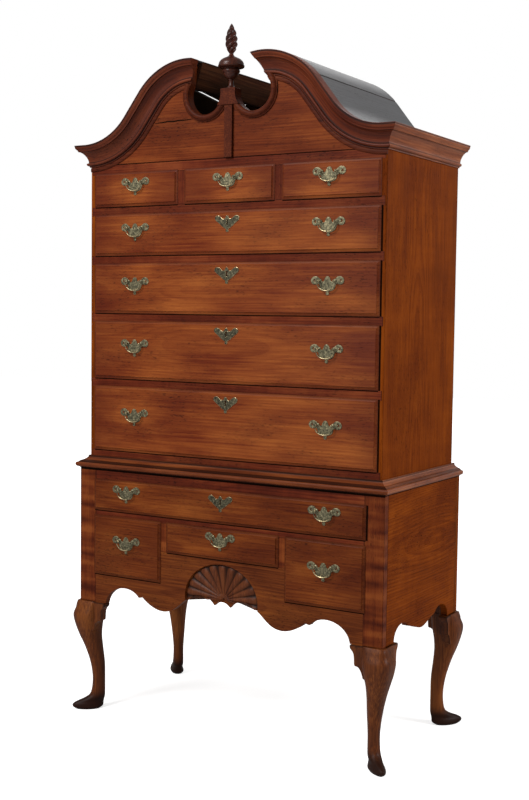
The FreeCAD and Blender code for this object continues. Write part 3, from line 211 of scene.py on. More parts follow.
lamp("key_lamp", (-1.3, -3.7, 4.2), (0, 0, 1.1), 1.8, 190)
lamp("side_lamp", (4.4, 0.4, 2.8), (0.4, 0, 1.1), 1.6, 128)
lamp("back_lamp", (-1.6, 4.6, 3.9), (0.2, 0, 1.9), 1.6, 11)
lamp("right_back_lamp", (2.9, 4.6, 2.4), (0.5, 0, 1.5), 1.2, 6)
lamp("low_lamp", (-1.0, -3.5, 1.3), (0.4, -0.25, 1.1), 0.9, 11)


# --- Boards of the two cases ------------------------------------------
# Sides, rails and stiles are solid cherry boards, planed and joined with dovetails, tenons and
# pegs, with edges worn soft.  Backs, bottoms and drawer runners are pine, left bare.
RINGS_PER_METRE = 160
GRAIN_SPREAD = (9, 0.08, 0.03)
chance = np.random.default_rng(1770)


def wood(name, deep, middle, pale, rough=0.42, polish=0.06, dirt_and_shade_strength=0.7, edge=0.006, figure=0.1, curl=0.0,
         stain=(60, 10, 4), ends=0.0, streak=1.0):
    """Wood in its grain coordinates, in colours from deep through middle to pale, which are given in
    thousandths.  The growth rings are circles round a heart that wanders under the board, so that
    a face shows long arches, and figure says how strong they are.  Noise drawn out along the grain
    gives streaks and pores, and curl adds bands across it.  A dark red stain lies in patches and,
    as much as ends says, at the ends.  A dark band lies along the edges and in the creases, partly
    soiling and partly painted shade: one keyword gives how dark it is, and edge how far from the
    edges it reaches."""
    deep, middle, pale, stain = (tuple(part / 1000 for part in colour)
                                 for colour in (deep, middle, pale, stain))
    shade = tuple(part * 0.25 for part in deep)
    material, shader, start = new_material(name)
    grain, low, high = (start.stored(each) for each in ("grain", "low", "high"))
    across, through = grain.parts()[1:]
    drift = grain.stretched(1.6, 9, 9).noise() - 0.5
    heart = 0.035 + 0.07 * grain.stretched(1.7, 0.6, 0.6).noise(1.0)
    sideways = across + 0.03 * drift
    depth = through + heart
    radius = (sideways * sideways + depth * depth).maths("SQRT")
    phase = (radius * RINGS_PER_METRE + drift * 1.5).maths("FRACT")
    late = phase.step(0.35, 0.93) * (1 - phase.step(0.94, 1))
    streaks = grain.stretched(4, 210, 210).noise(4.0, 0.65)
    cloud = grain.stretched(3.5, 11, 11).noise(3.0)
    patch = grain.stretched(3.2, 9, 9).noise(5.0, 0.62).step(0.40, 0.72)
    pores = grain.stretched(75, 330, 330).noise(2.0).step(0.56, 0.72) * (0.25 + patch)
    near = low.node("ShaderNodeVectorMath", {0: low, 1: high}, operation="MINIMUM").parts()
    near = near[0].maths("MINIMUM", near[1]).maths("MINIMUM", near[2])
    tip = low.parts()[0].maths("MINIMUM", high.parts()[0])
    tip = 1 - (tip + 0.12 * (cloud - 0.5)).step(0.0, 0.13)
    # The dark band near the board's edges and in stored creases: partly soiling, partly painted shade.
    dirt_and_shade = 1 - (near + 0.35 * edge * (cloud - 0.5)).step(0.0002, edge)
    tone = 0.5 + streak * (1.15 * (cloud - 0.5) + 1.1 * (streaks - 0.5)) - figure * (late - 0.4)
    if curl:
        tone = tone + curl * (grain.stretched(28, 4, 4).noise(2.0) - 0.5)
    colour = start.node("ShaderNodeValToRGB", {0: tone}, stops=((0.15, deep), (0.5, middle), (0.88, pale)))
    colour = colour.tinted(0.6 * patch, stain).tinted(ends * tip, stain)
    colour = colour.tinted(0.75 * pores, shade).tinted(dirt_and_shade_strength * dirt_and_shade, shade)
    colour.feed(shader, "Base Color")
    (rough + 0.25 * (cloud - 0.5) + 0.1 * dirt_and_shade + 0.1 * pores).feed(shader, "Roughness")
    (streaks - 0.7 * pores - 0.2 * late).bump(0.0006).feed(shader, "Normal")
    shader.inputs["Specular IOR Level"].default_value = polish
    return material


def set_vectors(mesh, **vectors):
    """Store vectors of the mesh's points under their names."""
    for name, values in vectors.items():
        layer = mesh.attributes.new(name, "FLOAT_VECTOR", "POINT")
        layer.data.foreach_set("vector", np.ascontiguousarray(values, dtype=np.float32).ravel())


def places_of(mesh):
    places = np.empty(3 * len(mesh.vertices), np.float32)
    mesh.vertices.foreach_get("co", places)
    return places.reshape(-1, 3)


def grow(mesh, along=None):
    """Give a board its grain: the distance along its longest axis, across from its middle and
    through from its face, from a random start, and its distances from the sides of its box, which
    are left out for points on those sides."""
    places = places_of(mesh)
    low, high = places.min(axis=0), places.max(axis=0)
    order = np.argsort(low - high)
    if along is not None:
        order = np.array([along] + [axis for axis in order if axis != along])
    start = chance.random(3) * GRAIN_SPREAD - (0, 0.04, 0)
    from_low, to_high = places - low, high - places
    from_low[:, order[2]] = to_high[:, order[2]] = 1
    from_low[from_low < 1e-5] = to_high[to_high < 1e-5] = 1
    set_vectors(mesh, grain=(places - (low + high) / 2)[:, order] + start, low=from_low, high=to_high)


def solids_of(node):
    """The separate closed boards of a CAD node, each as points and triangles.  Corners merge where
    they meet to a thousandth of a millimetre, and a board ends once each edge has met its reverse."""
    mesh = frame["nodes"][node].data
    corners = np.empty(len(mesh.loops), np.int32)
    mesh.loops.foreach_get("vertex_index", corners)
    places, merged = np.unique(np.round(places_of(mesh).astype(float), 6), axis=0, return_inverse=True)
    triangles = merged.ravel()[corners].reshape(-1, 3)
    boards, unmet, first = [], set(), 0
    for count, (a, b, c) in enumerate(triangles.tolist(), 1):
        for edge in ((a, b), (b, c), (c, a)):
            if edge[::-1] in unmet:
                unmet.remove(edge[::-1])
            else:
                unmet.add(edge)
        if not unmet:
            used, faces = np.unique(triangles[first:count], return_inverse=True)
            boards.append((places[used], faces.reshape(-1, 3)))
            first = count
    return boards


def worn(boards, width=0.0007, along=None):
    """One mesh of boards, each with its flat faces made whole, its edges rounded over by the width
    and a grain of its own."""
    whole = bmesh.new()
    for points, faces in boards:
        mesh = bpy.data.meshes.new("board")
        mesh.from_pydata(points, [], faces)
        board = bmesh.new()
        board.from_mesh(mesh)
        bmesh.ops.remove_doubles(board, verts=board.verts, dist=1e-6)
        bmesh.ops.recalc_face_normals(board, faces=board.faces)
        bmesh.ops.dissolve_limit(board, angle_limit=math.radians(0.3), verts=board.verts,
                                 edges=board.edges)
        board.normal_update()
        edges = [edge for edge in board.edges if edge.calc_face_angle(0) > math.radians(32)]
        bmesh.ops.bevel(board, geom=edges, offset=width, offset_type="OFFSET", segments=2,
                        profile=0.5, affect="EDGES", clamp_overlap=True)
        board.to_mesh(mesh)
        board.free()
        grow(mesh, along)
        whole.from_mesh(mesh)
        bpy.data.meshes.remove(mesh)
    mesh = bpy.data.meshes.new("boards")
    whole.to_mesh(mesh)
    whole.free()
    return mesh


def piece(name, mesh, body, finish, slot, *nodes, sharp=33):
    """Show a mesh as a piece that rides on a body, has a finish and stands for CAD nodes."""
    mesh.shade_smooth()
    mesh.name = name
    mesh.set_sharp_from_angle(angle=math.radians(sharp))
    mesh.materials.append(finish)
    made = bpy.data.objects.new(name, mesh)
    bpy.context.collection.objects.link(made)
    weighted = made.modifiers.new("flat_faces", "WEIGHTED_NORMAL")
    weighted.keep_sharp = True
    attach(made, body)
    if nodes:
        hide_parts(*nodes)


SIDE_CHERRY = wood("side_cherry", (100, 19, 2), (165, 32, 3), (250, 55, 5),
                   polish=0.01, edge=0.004, figure=0.2, curl=0.3, stain=(75, 12, 3))
POST_CHERRY = wood("post_cherry", (55, 9, 3), (135, 26, 6), (230, 56, 12),
                   dirt_and_shade_strength=0.5, edge=0.004, figure=0.03, curl=2.3, stain=(60, 8, 3), streak=0.7)
# The rails are darker than the posts: partly their own colour, partly painted shade under the drawers' lips
# and the waist moulding.
RAIL_CHERRY_PARTLY_SHADED = wood("rail_cherry_partly_shaded", (50, 7, 3), (115, 18, 6), (200, 44, 12), edge=0.003, curl=0.4)
PINE = wood("old_pine", (130, 55, 20), (270, 132, 52), (400, 220, 94),
            rough=0.7, polish=0.05, dirt_and_shade_strength=0.6, stain=(170, 85, 38))
for finish, slot, nodes in (
        (SIDE_CHERRY, "cherry", ("upper_side_left", "upper_side_right", "lower_sides")),
        (RAIL_CHERRY_PARTLY_SHADED, "cherry", ("upper_front_rails",)),
        (PINE, "pine", ("upper_bottom_and_top", "upper_back", "upper_drawer_runners", "lower_back",
                        "lower_drawer_runners"))):
    for node in nodes:
        body = "upper_case" if node.startswith("upper") else "lower_case"
        piece(f"{node}_boards", worn(solids_of(node)), body, finish, slot, node)
boards = solids_of("lower_front_frame")
upright = [np.ptp(points[:, 2]) > np.ptp(points[:, 0]) for points, faces in boards]
for word, finish, wanted in (("posts", POST_CHERRY, True), ("rails", RAIL_CHERRY_PARTLY_SHADED, False)):
    chosen = [board for board, tall in zip(boards, upright) if tall == wanted]
    piece(f"lower_front_{word}", worn(chosen, 0.0002), "lower_case", finish, "cherry", "lower_front_frame")


# --- Drawers ----------------------------------------------------------
# Each front is one cherry board with a thumbnail moulding round its lip, which laps the case.
# Pine sides are dovetailed into the block behind the lip, and the bottom slides in from the back.
# Thin dark slabs on the case stand for the shadows below a lip and beside a long one.
UPPER_FRONT = wood("upper_front_cherry", (120, 18, 5), (220, 49, 10), (340, 94, 18),
                   rough=0.38, polish=0.09, dirt_and_shade_strength=0.45, edge=0.008, stain=(80, 10, 4), ends=0.55)
# The lower case's fronts are painted darker than the upper ones: painted shade, as the light falls off
# towards the floor.
SHADED_LOWER_FRONT = wood("lower_front_cherry_painted_shade", (70, 11, 3), (160, 34, 6), (260, 70, 12),
                   rough=0.4, polish=0.07, dirt_and_shade_strength=0.45, edge=0.008, stain=(60, 9, 3), ends=0.35)
SHADOW = wood("gap_dark", (4, 2, 1), (8, 4, 2), (16, 8, 4), rough=0.8, polish=0.02)
CASE_FRONT = -0.234
POSTS_FRONT = -0.256
LIP_THICK = 0.0057
LAP = 0.006
BLOCK_DEEP = 0.016
THUMBNAIL = 0.0085
PROUD = 0.0003
CLEAR = 0.0003
GAP_UNDER, GAP_BESIDE = 0.0030, 0.0050


def box_of(node):
    """The low and the high corner of a CAD node's box."""
    return [np.array(corner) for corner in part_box(node)]


def skin(points):
    """Quads over a grid of points, whose rows close on themselves.  The first and the last row are
    closed by one face each."""
    rows, columns = points.shape[:2]
    index = np.arange(rows * columns).reshape(rows, columns)
    index = np.concatenate((index, index[:, :1]), axis=1)
    quads = np.stack((index[:-1, :-1], index[1:, :-1], index[1:, 1:], index[:-1, 1:]), axis=-1)
    faces = quads.reshape(-1, 4).tolist() + [index[0, :-1].tolist(), index[-1, -2::-1].tolist()]
    return points.reshape(-1, 3), faces


def closed_mesh(*skins):
    """One mesh of closed skins, its faces turned outwards."""
    mesh = bpy.data.meshes.new("closed")
    count, points, faces = 0, [], []
    for some_points, some_faces in skins:
        points.append(some_points)
        faces += [[corner + count for corner in face] for face in some_faces]
        count += len(some_points)
    mesh.from_pydata(np.concatenate(points), [], faces)
    whole = bmesh.new()
    whole.from_mesh(mesh)
    bmesh.ops.remove_doubles(whole, verts=whole.verts, dist=1e-7)
    bmesh.ops.recalc_face_normals(whole, faces=whole.faces)
    whole.to_mesh(mesh)
    whole.free()
    return mesh


def show(name, skins, along, body, finish, slot, *nodes):
    """Show closed skins as one piece, with its grain along an axis."""
    mesh = closed_mesh(*skins)
    grow(mesh, along)
    piece(name, mesh, body, finish, slot, *nodes)


def slab(low, high):
    """A plain board between two corners, as points and faces."""
    points = np.array([[(low, high)[side][axis] for axis, side in enumerate(corner)]
                       for corner in np.ndindex(2, 2, 2)])
    return points, [(0, 1, 3, 2), (4, 6, 7, 5), (0, 4, 5, 1), (2, 3, 7, 6), (0, 2, 6, 4), (1, 5, 7, 3)]


def shadow(name, body, *slabs):
    """A piece of thin dark slabs, for the shadow in a gap."""
    piece(name, worn(slabs, 0.0001), body, SHADOW, "cherry")


def lipped(low, high):
    """A drawer front's lip: its rim is the rectangle's edge, sampled each 4 mm, and each ring inside
    is that rim drawn in by the same amount on all sides.  Across the moulding, the surface falls
    from the field by a small step and then a quarter of an ellipse.  Wear nicks the rim a little."""
    pitch = 0.004
    middle, half = (low + high)[[0, 2]] / 2, (high - low)[[0, 2]] / 2
    counts = np.maximum(4, np.round(2 * half / pitch)).astype(int)
    level = np.linspace(-half[0], half[0], counts[0], endpoint=False)
    upright = np.linspace(-half[1], half[1], counts[1], endpoint=False)
    rim = np.concatenate((np.stack((level, np.full_like(level, -half[1])), axis=1),
                          np.stack((np.full_like(upright, half[0]), upright), axis=1)))
    rim = np.concatenate((rim, -rim))
    turn = np.linspace(0, math.pi / 2, 7)
    inset = np.concatenate(((THUMBNAIL, THUMBNAIL - 0.0003), (THUMBNAIL - 0.0007) * np.cos(turn) + 0.0001,
                            (0.0, 0.0006)))
    back = np.concatenate(((0, 0.0008), 0.0008 + 0.0036 * np.sin(turn), (0.0052, LIP_THICK)))
    wear = np.clip(chance.random(len(rim)) - 0.9, 0, 1) * 0.007
    wear = wear * (np.abs(rim[:, 0]) < half[0] - pitch) * (np.abs(rim[:, 1]) < half[1] - pitch)
    drawn_in = inset[:, None] + wear * (inset[:, None] < 0.004)
    ring = rim * (half - drawn_in[..., None]) / half + middle
    depth = np.broadcast_to(low[1] + back[:, None, None], ring.shape[:2] + (1,))
    return skin(np.concatenate((ring[..., :1], depth, ring[..., 1:]), axis=2))


def dovetails(x, way, front, low, high):
    """The pine tails that show on a side of a drawer's front block: two to four wedges, wider at
    the front, a fifth of a millimetre proud of the block."""
    count = 2 if high - low < 0.1 else 3 if high - low < 0.16 else 4
    pitch = (high - low) / count
    tails = []
    for middle in low + pitch * (np.arange(count) + 0.5):
        points, faces = slab((x, front + 0.005, middle - pitch * 0.36),
                             (x + way * 0.0002, front + BLOCK_DEEP, middle + pitch * 0.36))
        points[:, 2] += np.sign(middle - points[:, 2]) * (points[:, 1] > front + 0.01) * pitch * 0.12
        tails.append((points, faces))
    return tails


drawers = [name for name in frame["bodies"] if name in frame["nodes"] and "bail" not in name]
for name in drawers:
    if name.startswith("lower"):
        case, face, finish = "lower_case", POSTS_FRONT - PROUD, SHADED_LOWER_FRONT
    else:
        case, face, finish = "upper_case", CASE_FRONT - PROUD, UPPER_FRONT
    low, high = box_of(name)
    front = low[1] + LIP_THICK
    block = slab((low[0] + LAP, front - 0.0004, low[2] + 0.0003),
                 (high[0] - LAP, front + BLOCK_DEEP, high[2] - 0.004))
    show(f"{name}_front", (lipped(low, high), block), 0, name, finish, "cherry", name)
    piece(f"{name}_box", worn(solids_of(name)[1:]), name, PINE, "pine", name)
    tails = [tail for x, way in ((low[0] + LAP, -1), (high[0] - LAP, 1))
             for tail in dovetails(x, way, front, low[2] + 0.006, high[2] - 0.012)]
    show(f"{name}_dovetails", tails, 1, name, PINE, "pine")
    gaps = [slab((low[0] + 0.001, face, low[2] - GAP_UNDER), (high[0] - 0.001, face + 0.001, low[2] - CLEAR))]
    if "long" in name:
        gaps.append(slab((high[0] + CLEAR, face, low[2]),
                         (high[0] + GAP_BESIDE, face + 0.001, high[2] - 0.001)))
    shadow(f"{name}_gaps", case, *gaps)


# --- Back corners of the lower case -----------------------------------
# The cherry sides reach past the ends of the pine back board, so that no pine shows from beside
# the chest: a film of cherry covers each end.
low, high = box_of("lower_back")
edges = [slab((side * high[0] - 0.0002, low[1] + 0.0005, low[2] + 0.001),
              (side * high[0] + 0.0002, high[1] - 0.0005, high[2] - 0.001)) for side in (-1, 1)]
piece("lower_back_edges", worn(edges, 0.0001), "lower_case", SIDE_CHERRY, "cherry")


# --- Waist moulding ---------------------------------------------------
# A cherry moulding in three mitred lengths, fixed to the lower case: it covers the joint of the
# two cases, with an ogee down to a fillet and a half-round nose that stands out from both.
WAIST_CHERRY = wood("waist_cherry", (55, 11, 4), (145, 33, 9), (250, 70, 18),
                    rough=0.4, polish=0.08, dirt_and_shade_strength=0.97, edge=0.005)
# The returns along the sides of the waist and the crown are painted lighter than the fronts of the same
# mouldings: a painted sheen.
SHEEN_RETURN_CHERRY = wood("return_cherry_painted_sheen", (85, 19, 6), (200, 50, 15), (340, 110, 38),
                     rough=0.34, polish=0.25, edge=0.003)
LOWER_HALF = 0.517
LOWER_BACK = 0.256
GAP_HALF, GAP_TOP = 0.5168, 0.7584
SIDES = ((-1, "left"), (1, "right"))


def curve(points, count=8):
    """A smooth line through points: a Catmull-Rom spline, where each stretch leaves and meets its
    ends at half the step between their neighbours."""
    points = np.asarray(points, float)
    before = np.concatenate((2 * points[:1] - points[1:2], points[:-1]))
    after = np.concatenate((points[1:], 2 * points[-1:] - points[-2:-1]))
    slope = (after - before) / 2
    part = np.linspace(0, 1, count, endpoint=False)[None, :, None]
    first, last = points[:-1, None], points[1:, None]
    bend = (first * (2 * part ** 3 - 3 * part ** 2 + 1)
            + slope[:-1, None] * (part ** 3 - 2 * part ** 2 + part)
            + last * (3 * part ** 2 - 2 * part ** 3) + slope[1:, None] * (part ** 3 - part ** 2))
    return np.concatenate((bend.reshape(-1, points.shape[1]), points[-1:]))


def mark(mesh, grain, clear_of_dark_band):
    """Store a mesh's grain, and how far each of its points is from the wood's dark band of soiling and
    painted shade.
    """
    low = np.ones_like(grain)
    low[:, 0] = clear_of_dark_band
    set_vectors(mesh, grain=grain, low=low, high=np.ones_like(grain))


def grow_moulding(mesh, running, profile, creases):
    """Grain along the length of a moulding, for which the running lengths of its stations are
    given.  Painted shade darkens the profile's creases, so the distance to the nearest is stored."""
    away = np.linalg.norm(profile[:, None] - creases, axis=2).min(axis=1)
    grain = np.column_stack((np.repeat(running, len(profile)), np.tile(profile[:, ::-1], (len(running), 1))))
    mark(mesh, grain + chance.random(3) * GRAIN_SPREAD, np.tile(away, len(running)))


def straight(name, body, finish, node, profile, creases, starts, ends):
    """A straight length of moulding: at each of its stations, each point of the profile has gone as
    large a part of the way from its own start to its own end, so both ends can be cut at a slant."""
    part = np.linspace(0, 1, 40)[:, None, None]
    mesh = closed_mesh(skin(starts * (1 - part) + ends * part))
    grow_moulding(mesh, part.ravel() * np.linalg.norm(ends[0] - starts[0]), profile, creases)
    piece(name, mesh, body, finish, "cherry", node)


WAIST = np.concatenate((
    [(495.3, 795), (500.3, 795), (500.3, 792.2)],
    curve([(500.3, 792), (501.8, 788.5), (506, 785), (510.5, 782), (516, 780), (520.6, 777)], 5),
    [(520.6, 776.2), (522.2, 776)],
    curve([(522.2, 775), (527, 773.5), (528.85, 768.5), (526.5, 762.5), (521.8, 760.3)], 6),
    [(519.6, 760), (519.6, 758.2), (517.2, 758), (517.2, 769.7), (495.3, 769.7)])) / 1000
# Painted shade darkens the waist at these points: in its creases, along its cove and on its top ledge.
WAIST_CREASES = np.array([(497.5, 795), (500.3, 792.4), (514, 780.6), (518.5, 778.8), (521.5, 776),
                          (520, 760)]) / 1000
out, level = WAIST.T
front = POSTS_FRONT + LOWER_HALF - out
back = np.full_like(out, LOWER_BACK)
for word, finish, start, end in (("front", WAIST_CHERRY, (-out, front), (out, front)),
                                 ("left", SHEEN_RETURN_CHERRY, (-out, front), (-out, back)),
                                 ("right", SHEEN_RETURN_CHERRY, (out, front), (out, back))):
    straight(f"waist_{word}", "lower_case", finish, "waist_moulding", WAIST, WAIST_CREASES,
             np.stack((*start, level), axis=1), np.stack((*end, level), axis=1))
# Dark slabs under the moulding's nose, across the front and along both sides, are painted shadow.
shadow("waist_gap", "lower_case", slab((-GAP_HALF, -0.2563, 0.7525), (GAP_HALF, -0.2553, GAP_TOP)),
       *(slab((side * GAP_HALF - 0.0004, -0.2555, 0.7555), (side * GAP_HALF + 0.0004, 0.2555, GAP_TOP))
         for side, word in SIDES))


# --- Crown moulding ---------------------------------------------------
# Carved from thick cherry: each front half sweeps from the case's corner up to a crest beside the
# gap, and is mitred to a straight return along the side.  A cove hangs between beads and fillets.
DARK_CHERRY = wood("dark_cherry", (36, 6, 3), (98, 17, 6), (200, 44, 13),
                   rough=0.4, polish=0.14, dirt_and_shade_strength=0.95, edge=0.004)
RING_CHERRY = wood("ring_cherry", (30, 7, 4), (75, 15, 6), (140, 34, 12),
                   rough=0.45, polish=0.05, dirt_and_shade_strength=0.8, edge=0.003)
UPPER_HALF = 0.495
UPPER_BACK = 0.246
SLOPE = math.radians(52)
CREST_X = 0.125
BONNET_LOW, BONNET_TOP = 1.733, 1.955
FOOT_RADIUS = 0.190
CREST_RADIUS = (((UPPER_HALF - CREST_X) * math.sin(SLOPE) - (BONNET_TOP - BONNET_LOW) * math.cos(SLOPE))
                / (1 - math.cos(SLOPE)) - FOOT_RADIUS)
GAP_EDGES = {-1: (0.107, 0.35), 1: (0.088, 0.55)}


def gap_edge(side, inset):
    """The distance from the middle to the gap's edge, which slants away from it downwards."""
    start, slant = GAP_EDGES[side]
    return start + slant * inset


def bonnet_line(inset, foot_stretch=0.0, gap=GAP_EDGES[1][0]):
    """The bonnet's line from the foot to the gap, drawn in by an inset: a hollow arc about a centre
    above the foot, and a round arc about a centre under the crest, which meet at the slope's angle
    and are joined by their straight tangent.  The line starts foot_stretch beyond the foot."""
    turn = np.linspace(0, SLOPE, 40)
    foot = np.stack((UPPER_HALF - (FOOT_RADIUS + inset) * np.sin(turn),
                     BONNET_LOW + FOOT_RADIUS - (FOOT_RADIUS + inset) * np.cos(turn)), axis=1)
    turn = np.linspace(SLOPE, -math.asin((CREST_X - gap) / (CREST_RADIUS - inset)), 70)
    crest = np.stack((CREST_X + (CREST_RADIUS - inset) * np.sin(turn),
                      BONNET_TOP - CREST_RADIUS + (CREST_RADIUS - inset) * np.cos(turn)), axis=1)
    return np.concatenate(([(UPPER_HALF + foot_stretch, BONNET_LOW - inset)], foot, crest[1:]))


def scrolled(side, insets, stretches, outs):
    """A profile carried up one half of the bonnet.  Each of its points follows the bonnet's line,
    drawn in by its inset and stretched at the foot, at its distance out from the case's front."""
    lines = np.stack([bonnet_line(inset, stretch, gap_edge(side, inset))
                      for inset, stretch in zip(insets, stretches)], axis=1)
    depth = np.broadcast_to(CASE_FRONT - outs, lines.shape[:2])
    return np.stack((side * lines[..., 0], depth, lines[..., 1]), axis=2)


CROWN = np.concatenate((
    [(0, 0), (36.6, 0), (37, -0.5), (37, -2.6), (36.4, -3.2)],
    curve([(36.2, -3.6), (35.7, -7.2), (33.6, -11.2), (30.6, -14.2), (29.1, -17.2)], 5),
    [(28.7, -18.6), (27.4, -19), (24, -19.2)],
    curve([(23.6, -19.6), (18.7, -23.2), (13.6, -29), (9.4, -36.2), (6.8, -43.4), (6, -49.2)], 5),
    [(6, -50.8), (8.2, -51.2)],
    curve([(8.6, -51.6), (10.3, -53.2), (10.6, -55.6), (9.3, -58.2), (6.6, -59.7)], 5),
    [(5.8, -60.2), (4.2, -60.8), (3.8, -61.6), (3.8, -63.6), (3.4, -64), (0, -64)])) / 1000
# Painted shade darkens the crown at these creases.
CROWN_CREASES = np.array([(36.6, -3.4), (27, -19.2), (6.2, -50), (5, -60.4)]) / 1000
BAND = np.array([(65.2, -0.8), (65.2, 1.4), (66.8, 3), (69, 3.6), (74, 3.6), (76.4, 2.8), (77.6, 1.4),
                 (77.6, -0.8)]) / 1000
BAND_FOOT = -0.03
out, drop = CROWN.T
for side, word in SIDES:
    sweep = scrolled(side, -drop, out + 1e-5, out)
    mesh = closed_mesh(skin(sweep))
    steps = np.linalg.norm(np.diff(sweep[..., [0, 2]].mean(axis=1), axis=0), axis=1)
    grow_moulding(mesh, np.concatenate(([0], np.cumsum(steps))), CROWN, CROWN_CREASES)
    piece(f"crown_front_{word}", mesh, "upper_case", DARK_CHERRY, "cherry", "crown_moulding")
    sweep = scrolled(side, BAND[:, 0], np.full(len(BAND), BAND_FOOT), BAND[:, 1])
    show(f"crown_band_{word}", [skin(sweep[1:])], 0, "upper_case", RING_CHERRY, "cherry", "crown_moulding")
    across, rise = side * (UPPER_HALF + out), BONNET_LOW + drop
    straight(f"crown_side_{word}", "upper_case", SHEEN_RETURN_CHERRY, "crown_moulding", CROWN, CROWN_CREASES,
             np.stack((across, CASE_FRONT - out, rise), axis=1),
             np.stack((across, np.full_like(out, UPPER_BACK), rise), axis=1))


# --- Bonnet roof ------------------------------------------------------
# Thin dark planks are nailed over the scroll board and the back board, from the front to the back.
# The third and fourth on the left have drifted apart, and a board lines each side of the gap.
ROOF = wood("dark_roof", (30, 29, 31), (55, 54, 58), (100, 98, 103),
            rough=0.36, polish=0.5, dirt_and_shade_strength=0.0, stain=(45, 42, 43))
LINING = wood("lining_cherry", (8, 4, 2), (36, 13, 6), (90, 34, 14), rough=0.6, polish=0.04)
SEAMS = {-1: (0.107, 0.160, 0.208, 0.252, 0.375, 0.495), 1: (0.088, 0.155, 0.222, 0.288, 0.392, 0.495)}
PLANK_DEPTHS = np.linspace(-0.2335, 0.2458, 14)
PLANK_THICK = {-1: 0.004, 1: 0.008}
WIDE_SEAM_HALF = {-1: 0.0030, 1: 0.0018}
SEAM_DRIFT = {-1: 0.095, 1: 0}
SEAM_HALF = 0.0001
REBATE = 0.0012
SEAM_SUNK = 0.0012
LINING_THICK = 0.010
LINING_TOPS = {-1: 1.9528, 1: 1.9505}


def between(x, z, other_x, other_z):
    """The closed outline round what lies between two lines: along the first, back by the other."""
    return np.concatenate((np.stack((x, z), axis=1), np.stack((other_x, other_z), axis=1)[::-1]))


def carried(outline, depths):
    """The skin of an outline in X and Z that is carried along Y to each of the depths."""
    return skin(np.stack([np.insert(outline, 1, y, axis=1) for y in depths]))


for side, word in SIDES:
    thick = PLANK_THICK[side]
    line, under = (bonnet_line(inset)[:0:-1] for inset in (0.0002, thick))
    planks = []
    for count, (start, end) in enumerate(zip(SEAMS[side][:-1], SEAMS[side][1:])):
        rings = []
        for y in PLANK_DEPTHS:
            drift = SEAM_DRIFT[side] * y
            near = start + {0: REBATE, 3: WIDE_SEAM_HALF[side] + drift}.get(count, SEAM_HALF)
            far = end - {2: WIDE_SEAM_HALF[side] - drift, 4: 0.0}.get(count, SEAM_HALF)
            across = np.linspace(near, far, 16)
            top = np.interp(across, line[:, 0], line[:, 1])
            bottom = np.interp(across, under[:, 0], under[:, 1])
            inner = across.copy()
            if count == 0:
                inner[0] = gap_edge(side, thick) + REBATE
            if count == 4:
                bottom[-1] = top[-1] - thick
            rings.append(np.insert(between(side * across, top, side * inner, bottom), 1, y, axis=1))
        planks.append(skin(np.stack(rings)))
    show(f"bonnet_planks_{word}", planks, 1, "upper_case", ROOF, "dark_roof", "bonnet_roof")
# A dark bar sunk into the wide seam on the right is painted shade between the planks.
seam = [(0.2863, 0), (0.2897, 0), (0.2897, 0.005), (0.2863, 0.005)]
seam = np.array([(x, np.interp(x, line[:, 0], line[:, 1]) - SEAM_SUNK - down) for x, down in seam])
show("roof_seam", [carried(seam, (-0.233, 0.2455))], 1, "upper_case", SHADOW, "dark_roof")
linings = []
for side, top in LINING_TOPS.items():
    rise = np.linspace(1.878, top, 4)
    edge = gap_edge(side, BONNET_TOP - rise) + 0.0002
    linings.append(carried(between(side * edge, rise, side * (edge + LINING_THICK), rise),
                           np.linspace(-0.2118, 0.2338, 12)))
piece("gap_linings", worn(linings, 0.0008, 1), "upper_case", LINING, "cherry")


# --- Scroll board -----------------------------------------------------
# The bonnet's front is one wide cherry board, sawn to its line, with a round opening beside each
# crest and a long drying crack.  A strip and a plinth block stand in its middle for the finial,
# and half-round rings edge the openings.
TYMPANUM = wood("scroll_cherry", (75, 12, 4), (145, 28, 7), (250, 62, 13), polish=0.05, edge=0.004)
OPENING_X, OPENING_Z = 0.081, 1.855
TONGUE_HOLLOW = 0.057
TONGUE_HALF = 0.060
HORNS_FROM = 1.884
STRIP_TOP = 1.84
RING_ENDS = {-1: 30, 1: 41}
JOINT_HALF, JOINT_LOW, JOINT_HIGH = 0.482, 1.6722, 1.6744
CRACK_HALF = 0.0019
CRACK = np.array([(-261.6, 1785.1), (-245, 1786.2), (-229, 1786.8), (-212, 1788.1), (-193, 1787.2),
                  (-171, 1788.6), (-152, 1788.2), (-136, 1789), (-123, 1790.2)]) / 1000

# From HORNS_FROM up, the board's two horns are cut along the gap's edges.  RING_ENDS are the angles
# in degrees at which the rings end beside the gap.
[(points, faces)] = solids_of("scroll_board")
side = np.sign(points[:, 0])
below = BONNET_TOP - points[:, 2]
edge = np.where(side < 0, gap_edge(-1, below), gap_edge(1, below))
across = np.abs(points[:, 0])
beyond = (across < edge) & (across > TONGUE_HALF) & (points[:, 2] > HORNS_FROM)
points[beyond, 0] = (side * edge)[beyond]
mesh = worn([(points, faces)], 0.0006, 0)
piece("scroll_board_front", mesh, "upper_case", TYMPANUM, "cherry", "scroll_board")
